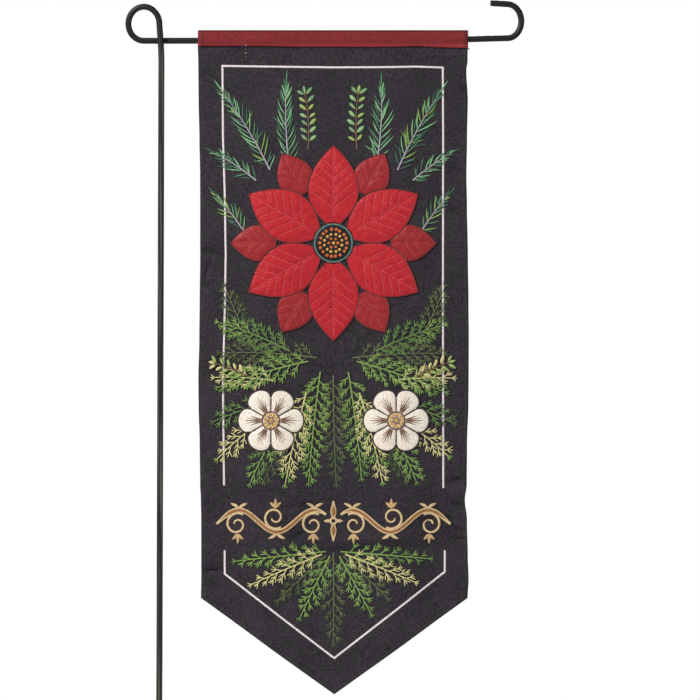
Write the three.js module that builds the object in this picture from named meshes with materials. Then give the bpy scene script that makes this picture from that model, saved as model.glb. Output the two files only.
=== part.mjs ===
// A garden flag hung on a bent-rod stake stand.
// Millimetres, +Z up. The flag's face looks along -Y, and its arm reaches along +X.
// The origin is on the pole's axis at the ground line.
import * as THREE from 'three';

// Driving dimensions of the stand
const ROD_RADIUS = 3.175; // a quarter-inch rod
const ROD_SIDES = 12;
const STAKE_DEPTH = 150; // how far both points reach into the ground
const POINT_LENGTH = 22;
const POINT_RADIUS = 0.7;
const POLE_LEAN = 2.6; // how far the pole's top stands to the right of its foot
const ARM_HEIGHT = 864.7; // the arm's axis where it leaves the loop
const ARM_RISE = 3.0; // what the arm gains in height on its way to the hook
const ARM_BACK = 6.85; // the arm's axis behind the pole's, so that the rod clears itself
const LOOP = { x: -17.3, z: 884.4, halfWidth: 17.5, halfHeight: 19.6 }; // its middle and reach
const HOOK = { x: 401, halfWidth: 16, halfHeight: 19.6 };
const HOOK_TAIL = 19.6; // the straight end of the hook
const HOOK_LIFT = 0.9; // how far that end rises
const PRONG_REACH = 92; // from the pole's axis to the second point's
const PRONG_BEND = 12;
const GAP = 0.47; // what separate pieces keep between them, at least 0.3 where their faces are flat

// Driving dimensions of the flag
const CLOTH = 1.2; // the black cloth
const HEM = 0.7; // what a turned hem adds behind it
const HEM_WIDTH = 9;
const CLOTH_TOP = 860.4; // the black cloth's upper edge, between the sleeve's two layers
const CORNER_HEIGHT = 224; // the two lower corners
const TIP_X = 201.9;
const TIP_HEIGHT = 113.7;
const SQUARE_ROWS_END = 300; // below this height the rows of the cloth bend towards the point
const FLAG_MIDDLE = 201;
const HALF_WIDTH = 155;
const CLOTH_COLUMNS = 24;
const CLOTH_ROWS = 62;
const COLUMN_CROWDING = 0.55; // how far the columns crowd towards the side hems
const POINT_ROWS = 0.2; // the share of the rows that bend towards the point

// The sleeve's section, from its top down the outside and from its seam up the inside: y is measured
// from the arm's axis and z above it. It is pressed together above the rod, rounds the rod, and closes
// on the black cloth from both sides.
const SLEEVE_OUTSIDE = [
  { y: 0.7, z: 12.5 },
  { y: 1.15, z: 11.8 },
  { y: 1.7, z: 9.4 },
  { y: 2.9, z: 6.2 },
  { y: 4.2, z: 3.0 },
  { y: 4.75, z: 0 },
  { y: 4.35, z: -3.0 },
  { y: 3.0, z: -5.8 },
  { y: 2.05, z: -7.4 },
];
const SLEEVE_INSIDE = [
  { y: 1.0, z: -7.4 },
  { y: 1.35, z: -6.0 },
  { y: 2.9, z: -4.0 },
  { y: 3.65, z: -1.5 },
  { y: 3.75, z: 0.6 },
  { y: 3.0, z: 2.8 },
  { y: 0, z: 3.98 },
];
const SLEEVE_STEPS = 28;

// How unevenly the sleeve's lower edge is sewn down: share of the width, and its lift
const SEAM = [
  { share: 0, lift: 1.5 },
  { share: 0.25, lift: 0.8 },
  { share: 0.5, lift: 0.1 },
  { share: 0.7, lift: 0.5 },
  { share: 0.82, lift: 1.1 },
  { share: 1, lift: -1.0 },
];

// The side edges of the flag: height, and where the left and right edge stand there
const SIDES = [
  { z: 878, left: 45.1, right: 355.0 },
  { z: 842, left: 45.9, right: 354.8 },
  { z: 831, left: 46.0, right: 353.4 },
  { z: 797, left: 46.2, right: 355.1 },
  { z: 751, left: 47.2, right: 354.2 },
  { z: 709, left: 48.0, right: 353.5 },
  { z: 677, left: 48.1, right: 354.1 },
  { z: 613, left: 48.1, right: 355.2 },
  { z: 567, left: 47.5, right: 355.9 },
  { z: 521, left: 47.0, right: 356.3 },
  { z: 475, left: 45.9, right: 356.1 },
  { z: 447, left: 46.2, right: 355.8 },
  { z: 401, left: 47.5, right: 354.2 },
  { z: 355, left: 48.1, right: 353.9 },
  { z: 337, left: 48.9, right: 351.7 },
  { z: 314, left: 49.3, right: 354.1 },
  { z: 272, left: 49.3, right: 355.1 },
  { z: 245, left: 49.3, right: 356.0 },
  { z: 224, left: 49.0, right: 354.9 },
  { z: 113, left: 49.0, right: 354.9 },
];

// The upright flutes in which the cloth hangs: place, width, and depth at the head and at the foot
const FLUTES = [
  { x: 84, width: 27, head: 0.5, foot: 3.0 },
  { x: 140, width: 31, head: -0.4, foot: -2.6 },
  { x: 209, width: 36, head: 0.3, foot: 2.0 },
  { x: 273, width: 29, head: -0.5, foot: -2.8 },
  { x: 325, width: 22, head: 0.6, foot: 3.2 },
];

// The level waves across the whole cloth: height, half their height, and depth
const SWAGS = [
  { z: 780, width: 45, depth: 1.1 },
  { z: 640, width: 60, depth: -1.5 },
  { z: 500, width: 60, depth: 1.5 },
  { z: 352, width: 50, depth: -1.3 },
  { z: 150, width: 55, depth: -3.4 },
];

// The short soft creases by the hems: middle, slope in degrees, half length, half width, and depth
const CREASES = [
  { x: 349, z: 824, slope: 20, length: 11, width: 7, depth: 0.8 },
  { x: 57, z: 825, slope: 0, length: 12, width: 7, depth: 0.7 },
  { x: 54, z: 737, slope: 12, length: 12, width: 8, depth: 0.7 },
  { x: 344, z: 720, slope: 0, length: 13, width: 7, depth: 1.0 },
  { x: 345, z: 669, slope: 28, length: 14, width: 7, depth: 1.0 },
  { x: 62, z: 622, slope: 2, length: 16, width: 7, depth: 1.1 },
  { x: 60, z: 583, slope: 10, length: 14, width: 7, depth: 1.1 },
  { x: 343, z: 358, slope: 16, length: 17, width: 6, depth: 1.6 },
  { x: 346, z: 345, slope: 4, length: 15, width: 5, depth: -1.2 },
  { x: 344, z: 331, slope: -14, length: 17, width: 6, depth: 1.9 },
  { x: 347, z: 311, slope: 10, length: 15, width: 7, depth: -1.2 },
  { x: 345, z: 293, slope: -22, length: 17, width: 7, depth: 1.5 },
  { x: 61, z: 257, slope: -8, length: 16, width: 7, depth: 1.2 },
  { x: 65, z: 239, slope: -43, length: 13, width: 6, depth: 1.0 },
];

const EDGE_CURL = 2.6; // how far the side edges hang behind the middle
const HANG_FROM = 857; // the folds start below the sleeve and are full this far down
const HANG_IN = 55;

// Driving dimensions of the white border line
const LINE_WIDTH = 4;
const LINE_THICK = 0.9;
const LINE_STEP = 11; // the longest straight run of its edges
const UPPER_LINE = [
  { x: 75.3, z: 353.3 },
  { x: 73.6, z: 475 },
  { x: 75.9, z: 562 },
  { x: 76.8, z: 620 },
  { x: 75.7, z: 690 },
  { x: 73.9, z: 755 },
  { x: 73.4, z: 835.8 },
  { x: 120, z: 835.3 },
  { x: 203, z: 834.4 },
  { x: 296, z: 834.9 },
  { x: 327, z: 833.9 },
  { x: 326.9, z: 755 },
  { x: 326.4, z: 690 },
  { x: 326.4, z: 562 },
  { x: 326.8, z: 475 },
  { x: 327.2, z: 350.4 },
];
const LOWER_LINE = [
  { x: 75.9, z: 278.5 },
  { x: 75.9, z: 251.5 },
  { x: 201.9, z: 154.9 },
  { x: 329.1, z: 253.8 },
  { x: 329.1, z: 278.5 },
];

// Driving dimensions of the flower and the two blossoms
const FLOWER_X = 201;
const FLOWER_Z = 632;
const PETALS = 6;
const PETAL_THICK = 1;
const PETAL_CROWN = 1.5; // how far the padding lifts a petal
const PETAL_SEAM = 0.8; // how far the sewn mid-line draws it down again
const PETAL_GAP = 0.9; // between neighbours
const PETAL_ROOT = 0.28; // a petal's width at its root, as a share of its widest
const PETAL_END = 0.7; // half the width of its sewn point
const SEAM_REACH = 0.35; // the share of a petal's half width that the mid-line draws down
const INNER = { from: 24, to: 112, widest: 0.46, half: 32 };
const OUTER = { from: 66, to: 118, widest: 0.45, half: 21 };
const EYE_RADIUS = 21.5;
const EYE_CROWN = 1.6;
const BLOSSOM_RADIUS = 38;
const BLOSSOM_Z = 428;
const BLOSSOM_SPREAD = 72; // from the flag's middle line
const BLOSSOM_LOBES = 6;
const BLOSSOM_NOTCH = 0.3; // how far in the notches between its lobes reach
const BLOSSOM_CROWN = 1.2;

const steel = new THREE.MeshStandardMaterial({ color: 0x262423, roughness: 0.45, metalness: 0.6 });
const charcoal = new THREE.MeshStandardMaterial({ color: 0x363338, roughness: 0.95, metalness: 0 });
const crimson = new THREE.MeshStandardMaterial({ color: 0x813335, roughness: 0.9, metalness: 0 });
const white = new THREE.MeshStandardMaterial({ color: 0xece2e3, roughness: 0.7, metalness: 0 });
const scarlet = new THREE.MeshStandardMaterial({ color: 0xb72d34, roughness: 0.5, metalness: 0 });
const deepRed = new THREE.MeshStandardMaterial({ color: 0x99342f, roughness: 0.55, metalness: 0 });
const black = new THREE.MeshStandardMaterial({ color: 0x1b1a1d, roughness: 0.6, metalness: 0 });
const cream = new THREE.MeshStandardMaterial({ color: 0xf3ecdc, roughness: 0.8, metalness: 0 });

const flag = new THREE.Group();
flag.name = 'garden_flag';

function addPiece(name, geometry, material) {
  const piece = new THREE.Mesh(geometry, material.clone());
  piece.name = name;
  flag.add(piece);
}

// A box of cols by rows cells, bent into a sheet. place takes how far across (0 to 1), the side
// (-1 the front, 1 the back) and how far up (0 to 1), and gives the point.
function sheet(cols, rows, place) {
  const geometry = new THREE.BoxGeometry(1, 1, 1, cols, 1, rows);
  const points = geometry.attributes.position;
  for (let i = 0; i < points.count; i++) {
    const at = place(points.getX(i) + 0.5, points.getY(i) * 2, points.getZ(i) + 0.5);
    points.setXYZ(i, at.x, at.y, at.z);
  }
  geometry.computeVertexNormals();
  return geometry;
}

// A rod through a row of stations, one ring of its outline at each, cut square at both ends
class Stations extends THREE.Curve {
  constructor(stations) {
    super();
    this.stations = stations;
  }

  getUtoTmapping(u) {
    return u;
  }

  getPoint(t, target = new THREE.Vector3()) {
    const along = t * (this.stations.length - 1);
    const first = Math.min(Math.floor(along), this.stations.length - 2);
    return target.lerpVectors(this.stations[first], this.stations[first + 1], along - first);
  }

  getTangent(t, target = new THREE.Vector3()) {
    const last = this.stations.length - 1;
    const here = Math.round(t * last);
    const before = this.stations[Math.max(here - 1, 0)];
    const at = this.stations[here];
    const after = this.stations[Math.min(here + 1, last)];
    const arriving = at.clone().sub(before).normalize();
    const leaving = after.clone().sub(at).normalize();
    return target.addVectors(arriving, leaving).normalize();
  }
}

function bentRod(stations) {
  const outline = new THREE.Shape();
  for (let i = 0; i < ROD_SIDES; i++) {
    const turn = ((i + 0.5) / ROD_SIDES) * 2 * Math.PI;
    const reach = ROD_RADIUS / Math.cos(Math.PI / ROD_SIDES);
    const point = [reach * Math.cos(turn), reach * Math.sin(turn)];
    if (i === 0) outline.moveTo(...point);
    else outline.lineTo(...point);
  }
  const extrudePath = new Stations(stations);
  return new THREE.ExtrudeGeometry(outline, { steps: stations.length - 1, extrudePath });
}

// Draws the lowest ring of an upright rod in to a blunt point
function sharpen(geometry, axisX) {
  const points = geometry.attributes.position;
  for (let i = 0; i < points.count; i++) {
    if (points.getZ(i) > -STAKE_DEPTH + 1) continue;
    const share = POINT_RADIUS / ROD_RADIUS;
    points.setX(i, axisX + (points.getX(i) - axisX) * share);
    points.setY(i, points.getY(i) * share);
  }
  geometry.computeVertexNormals();
  return geometry;
}

const smooth = (from, to, value) => THREE.MathUtils.smoothstep(value, from, to);
const mix = THREE.MathUtils.lerp;

// The arm's height over its length: it bends up a little towards the hook
const armZ = (x) => ARM_HEIGHT + ARM_RISE * (Math.max(0, x) / HOOK.x) ** 1.6;

// The stand's rod, from the point of its pole to the free end of its hook
function standRod() {
  const stations = [];
  const add = (x, y, z) => stations.push(new THREE.Vector3(x, y, z));
  const poleX = (z) => POLE_LEAN * (z / ARM_HEIGHT);
  for (const z of [-STAKE_DEPTH, -STAKE_DEPTH + POINT_LENGTH, 0, 200, 400, 600, 780, 850]) {
    add(poleX(Math.max(z, 0)), 0, z);
  }
  // three quarters of a turn, from the pole's side over the top and down to the arm, going back all the way
  const loopSteps = 26;
  for (let i = 0; i <= loopSteps; i++) {
    const share = i / loopSteps;
    const turn = share * 1.5 * Math.PI;
    const back = ARM_BACK * smooth(0, 1, share);
    add(LOOP.x + LOOP.halfWidth * Math.cos(turn), back, LOOP.z + LOOP.halfHeight * Math.sin(turn));
  }
  for (const x of [0, 40, 120, 200, 260, 320, 370]) add(x, ARM_BACK, armZ(x));
  // half a turn up and back
  const hookSteps = 16;
  for (let i = 0; i <= hookSteps; i++) {
    const turn = (-0.5 + i / hookSteps) * Math.PI;
    const x = HOOK.x + HOOK.halfWidth * Math.cos(turn);
    add(x, ARM_BACK, armZ(HOOK.x) + HOOK.halfHeight * (1 + Math.sin(turn)));
  }
  add(HOOK.x - HOOK_TAIL, ARM_BACK, armZ(HOOK.x) + 2 * HOOK.halfHeight + HOOK_LIFT);
  return sharpen(bentRod(stations), 0);
}

// The step: a bar lying on the ground by the pole, bent down into the second point
function stepProng() {
  const stations = [];
  const add = (x, z) => stations.push(new THREE.Vector3(x, 0, z));
  add(PRONG_REACH, -STAKE_DEPTH);
  add(PRONG_REACH, -STAKE_DEPTH + POINT_LENGTH);
  const bendSteps = 6;
  for (let i = 0; i <= bendSteps; i++) {
    const turn = (i / bendSteps) * 0.5 * Math.PI;
    add(PRONG_REACH - PRONG_BEND * (1 - Math.cos(turn)), ROD_RADIUS - PRONG_BEND * (1 - Math.sin(turn)));
  }
  add(ROD_RADIUS + GAP, ROD_RADIUS);
  return sharpen(bentRod(stations), PRONG_REACH);
}

// Where the flag's left and right edge stand at a height
function sides(z) {
  const below = SIDES.findIndex((row) => row.z <= z);
  const low = SIDES[Math.max(below, 1)];
  const high = SIDES[Math.max(below, 1) - 1];
  const share = smooth(low.z, high.z, z);
  return { left: mix(low.left, high.left, share), right: mix(low.right, high.right, share) };
}

// How far behind the arm's axis the middle of the cloth hangs at a place
function hang(x, z) {
  const head = (z - TIP_HEIGHT) / (CLOTH_TOP - TIP_HEIGHT);
  const bell = (offset, width) => Math.exp(-((offset / width) ** 2));
  let depth = EDGE_CURL * Math.min(1, Math.abs(x - FLAG_MIDDLE) / HALF_WIDTH) ** 5;
  for (const flute of FLUTES) {
    depth += mix(flute.foot, flute.head, head) * bell(x - flute.x, flute.width);
  }
  for (const swag of SWAGS) depth += swag.depth * bell(z - swag.z, swag.width);
  for (const crease of CREASES) {
    const slope = THREE.MathUtils.degToRad(crease.slope);
    const along = (x - crease.x) * Math.cos(slope) + (z - crease.z) * Math.sin(slope);
    const across = (z - crease.z) * Math.cos(slope) - (x - crease.x) * Math.sin(slope);
    depth += crease.depth * bell(along, crease.length) * bell(across, crease.width);
  }
  return depth * (1 - smooth(HANG_FROM - HANG_IN, HANG_FROM, z));
}

const frontFace = (x, z) => ARM_BACK + hang(x, z) - CLOTH / 2;

// The height of the flag's lower edge
function hemLine(x) {
  const edges = sides(CORNER_HEIGHT);
  const corner = x < TIP_X ? edges.left : edges.right;
  const share = THREE.MathUtils.clamp((x - corner) / (TIP_X - corner), 0, 1);
  return mix(CORNER_HEIGHT, TIP_HEIGHT, share);
}

// The black cloth: columns crowd towards the hems, and the lowest rows bend into the point
function flagCloth() {
  const corners = sides(CORNER_HEIGHT);
  return sheet(CLOTH_COLUMNS, CLOTH_ROWS, (across, side, up) => {
    const share = across - (COLUMN_CROWDING * Math.sin(2 * Math.PI * across)) / (2 * Math.PI);
    const lowest = hemLine(mix(corners.left, corners.right, share));
    const z = up < POINT_ROWS
      ? mix(lowest, SQUARE_ROWS_END, up / POINT_ROWS)
      : mix(SQUARE_ROWS_END, CLOTH_TOP, (up - POINT_ROWS) / (1 - POINT_ROWS));
    const edges = sides(Math.max(z, CORNER_HEIGHT));
    const x = mix(edges.left, edges.right, share);
    const toHem = Math.min(x - edges.left, edges.right - x, z - hemLine(x));
    const belowSleeve = 1 - smooth(CLOTH_TOP - 25, CLOTH_TOP - 12, z);
    const hem = HEM * belowSleeve * (1 - smooth(HEM_WIDTH - 3, HEM_WIDTH, toHem));
    const depth = side < 0 ? -CLOTH / 2 : CLOTH / 2 + hem;
    return { x, y: ARM_BACK + hang(x, z) + depth, z };
  });
}

// The red sleeve: a table lookup gives how far its lower edge stands above the seam's nominal height
function seamLift(share) {
  const next = Math.max(1, SEAM.findIndex((row) => row.share >= share));
  const [from, to] = [SEAM[next - 1], SEAM[next]];
  return mix(from.lift, to.lift, smooth(from.share, to.share, share));
}

function topSleeve() {
  const outer = SLEEVE_OUTSIDE.map((row) => new THREE.Vector2(row.y, row.z));
  const inner = SLEEVE_INSIDE.map((row) => new THREE.Vector2(row.y, row.z));
  const mirrored = (row) => new THREE.Vector2(-row.x, row.y);
  const section = [
    ...outer,
    ...inner,
    ...inner.slice(0, -1).reverse().map(mirrored),
    ...outer.slice().reverse().map(mirrored),
  ];
  const geometry = new THREE.ExtrudeGeometry(new THREE.Shape(section), {
    steps: SLEEVE_STEPS,
    depth: 1,
    bevelEnabled: false,
  });
  const points = geometry.attributes.position;
  const edges = sides(SLEEVE_OUTSIDE[0].z + ARM_HEIGHT);
  for (let i = 0; i < points.count; i++) {
    const share = points.getZ(i);
    const [back, up] = [points.getX(i), points.getY(i)];
    const x = mix(edges.left, edges.right, share);
    const header = smooth(SLEEVE_OUTSIDE[4].z, SLEEVE_OUTSIDE[0].z, up);
    const seam = 1 - smooth(SLEEVE_INSIDE[0].z, SLEEVE_OUTSIDE[6].z, up);
    const rise = (armZ(x) - ARM_HEIGHT) * (1 - header) * (1 - seam);
    points.setXYZ(i, x, ARM_BACK + back, ARM_HEIGHT + up + rise + seam * seamLift(share));
  }
  geometry.computeVertexNormals();
  return geometry;
}

// The white line: a flat strip along straight runs, mitred where they meet
function borderLine(corners) {
  const places = [];
  corners.slice(1).forEach((to, i) => {
    const from = corners[i];
    const runs = Math.ceil(Math.hypot(to.x - from.x, to.z - from.z) / LINE_STEP);
    for (let k = 0; k < runs; k++) {
      places.push({ x: mix(from.x, to.x, k / runs), z: mix(from.z, to.z, k / runs) });
    }
  });
  places.push(corners[corners.length - 1]);
  const heading = (a, b) => new THREE.Vector2(b.x - a.x, b.z - a.z).normalize();
  const last = places.length - 1;
  return sheet(1, last, (across, side, up) => {
    const i = Math.round(up * last);
    const arriving = heading(places[Math.max(i - 1, 0)], places[Math.max(i, 1)]);
    const leaving = heading(places[Math.min(i, last - 1)], places[Math.min(i + 1, last)]);
    const along = arriving.clone().add(leaving).normalize();
    const reach = ((across - 0.5) * LINE_WIDTH) / along.dot(arriving);
    const x = places[i].x + along.y * reach;
    const z = places[i].z - along.x * reach;
    const lift = side > 0 ? GAP : GAP + LINE_THICK;
    return { x, y: frontFace(x, z) - lift, z };
  });
}

// Half a petal's width at a distance from the flower's middle: a leaf with a point at its end
function petalHalf(shape, r) {
  const share = THREE.MathUtils.clamp((r - shape.from) / (shape.to - shape.from), 0, 1);
  if (share < shape.widest) {
    return shape.half * mix(PETAL_ROOT, 1, Math.sin((Math.PI / 2) * (share / shape.widest)));
  }
  return shape.half * Math.cos((Math.PI / 2) * ((share - shape.widest) / (1 - shape.widest)));
}

// A petal's half angle, kept clear of its neighbours and, for an outer one, of the inner petals
function petalAngle(shape, r) {
  const spacing = Math.PI / PETALS;
  const inner = Math.min(Math.atan(petalHalf(INNER, r) / r), spacing - PETAL_GAP / 2 / r);
  const outer = Math.min(Math.atan(petalHalf(OUTER, r) / r), spacing - inner - PETAL_GAP / r);
  return Math.max(shape === INNER ? inner : outer, PETAL_END / r);
}

function petal(shape, index) {
  const turned = shape === INNER ? 0.5 : 0;
  const heading = ((index + turned) / PETALS) * 2 * Math.PI;
  return sheet(4, 9, (across, side, up) => {
    const r = mix(shape.from, shape.to, up);
    const off = across * 2 - 1; // from one edge, -1, to the other, 1
    const angle = heading - off * petalAngle(shape, r);
    const x = FLOWER_X + r * Math.cos(angle);
    const z = FLOWER_Z + r * Math.sin(angle);
    const pillow = Math.sqrt(Math.sin(Math.PI * up) * (1 - off * off));
    const seam = Math.max(0, 1 - Math.abs(off) / SEAM_REACH);
    const lift = PETAL_THICK + (PETAL_CROWN - PETAL_SEAM * seam) * pillow;
    return { x, y: frontFace(x, z) - GAP - (side < 0 ? lift : 0), z };
  });
}

// A flat round of cloth with a low crown and a lobed edge, lying on the flag
function patch({ middleX, middleZ, radius, lobes, notchDepth, crown, segments }) {
  const rings = [0.35, 0.7, 1];
  const flat = (share) => new THREE.Vector2(share, 0);
  const raised = (share) => new THREE.Vector2(share, 1);
  const profile = [flat(0), ...rings.map(flat), ...rings.slice().reverse().map(raised), raised(0)];
  const geometry = new THREE.LatheGeometry(profile, segments);
  const points = geometry.attributes.position;
  for (let i = 0; i < points.count; i++) {
    const share = Math.hypot(points.getX(i), points.getZ(i));
    const turn = Math.atan2(points.getX(i), points.getZ(i));
    const notch = 1 - Math.sqrt(Math.abs(Math.cos((lobes * turn) / 2)));
    const reach = share * radius * (1 - notchDepth * share * notch);
    const x = middleX + reach * Math.cos(turn);
    const z = middleZ + reach * Math.sin(turn);
    const lift = GAP + (points.getY(i) > 0.5 ? PETAL_THICK + crown * (1 - share * share) : 0);
    points.setXYZ(i, x, frontFace(x, z) - lift, z);
  }
  geometry.computeVertexNormals();
  return geometry;
}

addPiece('stand_rod', standRod(), steel);
addPiece('step_prong', stepProng(), steel);
addPiece('flag_cloth', flagCloth(), charcoal);
addPiece('top_sleeve', topSleeve(), crimson);
addPiece('border_upper', borderLine(UPPER_LINE), white);
addPiece('border_lower', borderLine(LOWER_LINE), white);
for (let i = 0; i < PETALS; i++) {
  addPiece(`petal_inner_${i + 1}`, petal(INNER, i), scarlet);
  addPiece(`petal_outer_${i + 1}`, petal(OUTER, i), deepRed);
}
const eye = {
  middleX: FLOWER_X,
  middleZ: FLOWER_Z,
  radius: EYE_RADIUS,
  lobes: 0,
  notchDepth: 0,
  crown: EYE_CROWN,
  segments: 24,
};
addPiece('flower_eye', patch(eye), black);
const blossoms = { blossom_left: -BLOSSOM_SPREAD, blossom_right: BLOSSOM_SPREAD };
for (const [name, offset] of Object.entries(blossoms)) {
  const blossom = {
    middleX: FLAG_MIDDLE + offset,
    middleZ: BLOSSOM_Z,
    radius: BLOSSOM_RADIUS,
    lobes: BLOSSOM_LOBES,
    notchDepth: BLOSSOM_NOTCH,
    crown: BLOSSOM_CROWN,
    segments: 48,
  };
  addPiece(name, patch(blossom), cream);
}

export default flag;
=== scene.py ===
# %% [markdown]
# # A garden flag on its stake stand
# The flag is a narrow pointed banner of dark brushed cloth. It hangs by a red sleeve from the arm of a stand
# that is bent from one steel rod, and a padded flower, two pale blossoms and a lot of embroidery are sewn on
# its face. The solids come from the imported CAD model, and this lesson dresses them: every sheet, pad and
# thread is laid on the folds in which the cloth hangs. Sizes are millimetres until a piece is finished, and
# metres in the scene.

# %% The frame, and its size
import math
import random

import bmesh
import bpy
import numpy as np
from mathutils import Matrix, Vector
from mathutils.bvhtree import BVHTree


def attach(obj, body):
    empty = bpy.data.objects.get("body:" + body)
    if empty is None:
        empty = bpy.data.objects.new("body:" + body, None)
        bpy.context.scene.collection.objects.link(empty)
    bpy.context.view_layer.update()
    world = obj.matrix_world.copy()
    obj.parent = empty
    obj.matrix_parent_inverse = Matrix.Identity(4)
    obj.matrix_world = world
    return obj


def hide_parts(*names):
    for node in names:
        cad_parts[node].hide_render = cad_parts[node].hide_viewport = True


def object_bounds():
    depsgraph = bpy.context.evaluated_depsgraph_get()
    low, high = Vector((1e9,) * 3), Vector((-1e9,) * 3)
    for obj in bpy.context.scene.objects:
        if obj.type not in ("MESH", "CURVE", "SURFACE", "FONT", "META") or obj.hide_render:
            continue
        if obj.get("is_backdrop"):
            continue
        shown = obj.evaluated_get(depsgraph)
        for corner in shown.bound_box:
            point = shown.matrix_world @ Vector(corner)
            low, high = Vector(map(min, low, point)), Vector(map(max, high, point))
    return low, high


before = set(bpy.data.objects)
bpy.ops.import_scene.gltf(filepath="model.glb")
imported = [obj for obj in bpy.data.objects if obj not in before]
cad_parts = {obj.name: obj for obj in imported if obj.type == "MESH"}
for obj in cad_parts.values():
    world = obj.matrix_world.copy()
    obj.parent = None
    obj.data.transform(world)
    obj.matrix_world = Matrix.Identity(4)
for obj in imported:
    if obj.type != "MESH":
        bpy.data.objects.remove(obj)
cad_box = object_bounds()
MM = 0.001


def rounded(values, digits=4):
    return [round(float(value), digits) for value in values]


def in_scene(name, data):
    """A new object, linked to the scene."""
    made = bpy.data.objects.new(name, data)
    bpy.context.scene.collection.objects.link(made)
    return made


print("CAD nodes:", len(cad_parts), "box:", [rounded(corner) for corner in cad_box])

# %% [markdown]
# ## The camera
# The photograph looks straight at the flag's face from far away, so nothing in it converges. A long lens does
# the same: 200 mm on a 36 mm sensor, 4.47 m from the arm, takes in a square of 805 mm, which is what the
# photograph shows at 1.15 mm a pixel. The top of the loop nearly touches the upper edge, as it does there.

# %% The camera at the photograph's angle
PIXEL = 1.15
PHOTO_SIDE = 700
LENS, SENSOR = 200, 36
VIEW_X, VIEW_Z = 220.0, 509.1
ARM_BACK = 6.85

view_side = PIXEL * PHOTO_SIDE * MM
view_distance = view_side * LENS / SENSOR
camera = in_scene("photo_camera", bpy.data.cameras.new("photo_camera"))
camera.data.lens = LENS
camera.data.sensor_width = SENSOR
camera.data.clip_end = 50
camera.location = (VIEW_X * MM, ARM_BACK * MM - view_distance, VIEW_Z * MM)
camera.rotation_euler = (math.pi / 2, 0, 0)
bpy.context.scene.camera = camera
print("camera sees", round(view_side, 3), "m from", round(view_distance, 3), "m")

# %% [markdown]
# ## The studio
# A plain white room gives soft light from everywhere, which suits dark cloth, since its folds stay readable.
# A soft lamp from the upper left adds the shading that shows padding and thread, a weaker one from the right
# keeps that side from going flat, and one from behind lights the back.

# %% Light and colour management
ROOM_LIGHT = 0.28
LAMP_AIM = (0.2, 0, 0.5)
# each lamp: place and side in metres, and power
LAMPS = {
    "key_lamp": ((-1.6, -1.6, 2.15), 0.6, 106),
    "side_lamp": ((2.1, -1.9, 0.6), 1.2, 17),
    "back_lamp": ((0.6, 2.6, 1.8), 1.2, 55),
}

bpy.context.scene.view_settings.view_transform = "Standard"
world = bpy.data.worlds.new("white_room")
world.use_nodes = True
room = world.node_tree
lit, seen = room.nodes["Background"], room.nodes.new("ShaderNodeBackground")
for background, strength in ((lit, ROOM_LIGHT), (seen, 1.0)):
    background.inputs["Color"].default_value = (1, 1, 1, 1)
    background.inputs["Strength"].default_value = strength
ray = room.nodes.new("ShaderNodeLightPath")
either = room.nodes.new("ShaderNodeMixShader")
for socket, source in zip(either.inputs, (ray.outputs["Is Camera Ray"], lit.outputs[0], seen.outputs[0])):
    room.links.new(source, socket)
room.links.new(either.outputs[0], room.nodes["World Output"].inputs[0])
bpy.context.scene.world = world

for name, (place, side, power) in LAMPS.items():
    lamp = in_scene(name, bpy.data.lights.new(name, "AREA"))
    lamp.data.shape = "SQUARE"
    lamp.data.size = side
    lamp.data.energy = power
    lamp.location = place
    lamp.rotation_euler = (Vector(LAMP_AIM) - Vector(place)).to_track_quat("-Z", "Y").to_euler()
print("lamps:", list(LAMPS))

# %% [markdown]
# ## How the cloth hangs
# Everything sewn on a flag moves with it, so the folds come first, as one function. It says how far behind
# the arm the cloth hangs at any place: soft level waves where the heavy padding pulls, upright flutes that
# deepen towards the foot, side edges that curl back a little, and short creases by the hems. The CAD solid
# has the same folds. Here each hem gets a few finer puckers besides, where its stitches draw the cloth in.

# %% The folds of the cloth
CLOTH_TOP = 860.4
CORNER_HEIGHT = 224.0
TIP_X, TIP_HEIGHT = 201.9, 113.7
FLAG_MIDDLE, HALF_WIDTH = 201.0, 155.0
EDGE_CURL = 2.6
HANG_FROM, HANG_IN = 857.0, 55.0
CLOTH_THICK = 1.2

# each row: x, width, depth at the head, depth at the foot
FLUTES = [(84, 27, 0.5, 3.0), (140, 31, -0.4, -2.6), (209, 36, 0.3, 2.0), (273, 29, -0.5, -2.8),
          (325, 22, 0.6, 3.2)]
# each row: z, half the height, depth
SWAGS = [(780, 45, 1.1), (640, 60, -1.5), (500, 60, 1.5), (352, 50, -1.3), (150, 55, -3.4)]
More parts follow.
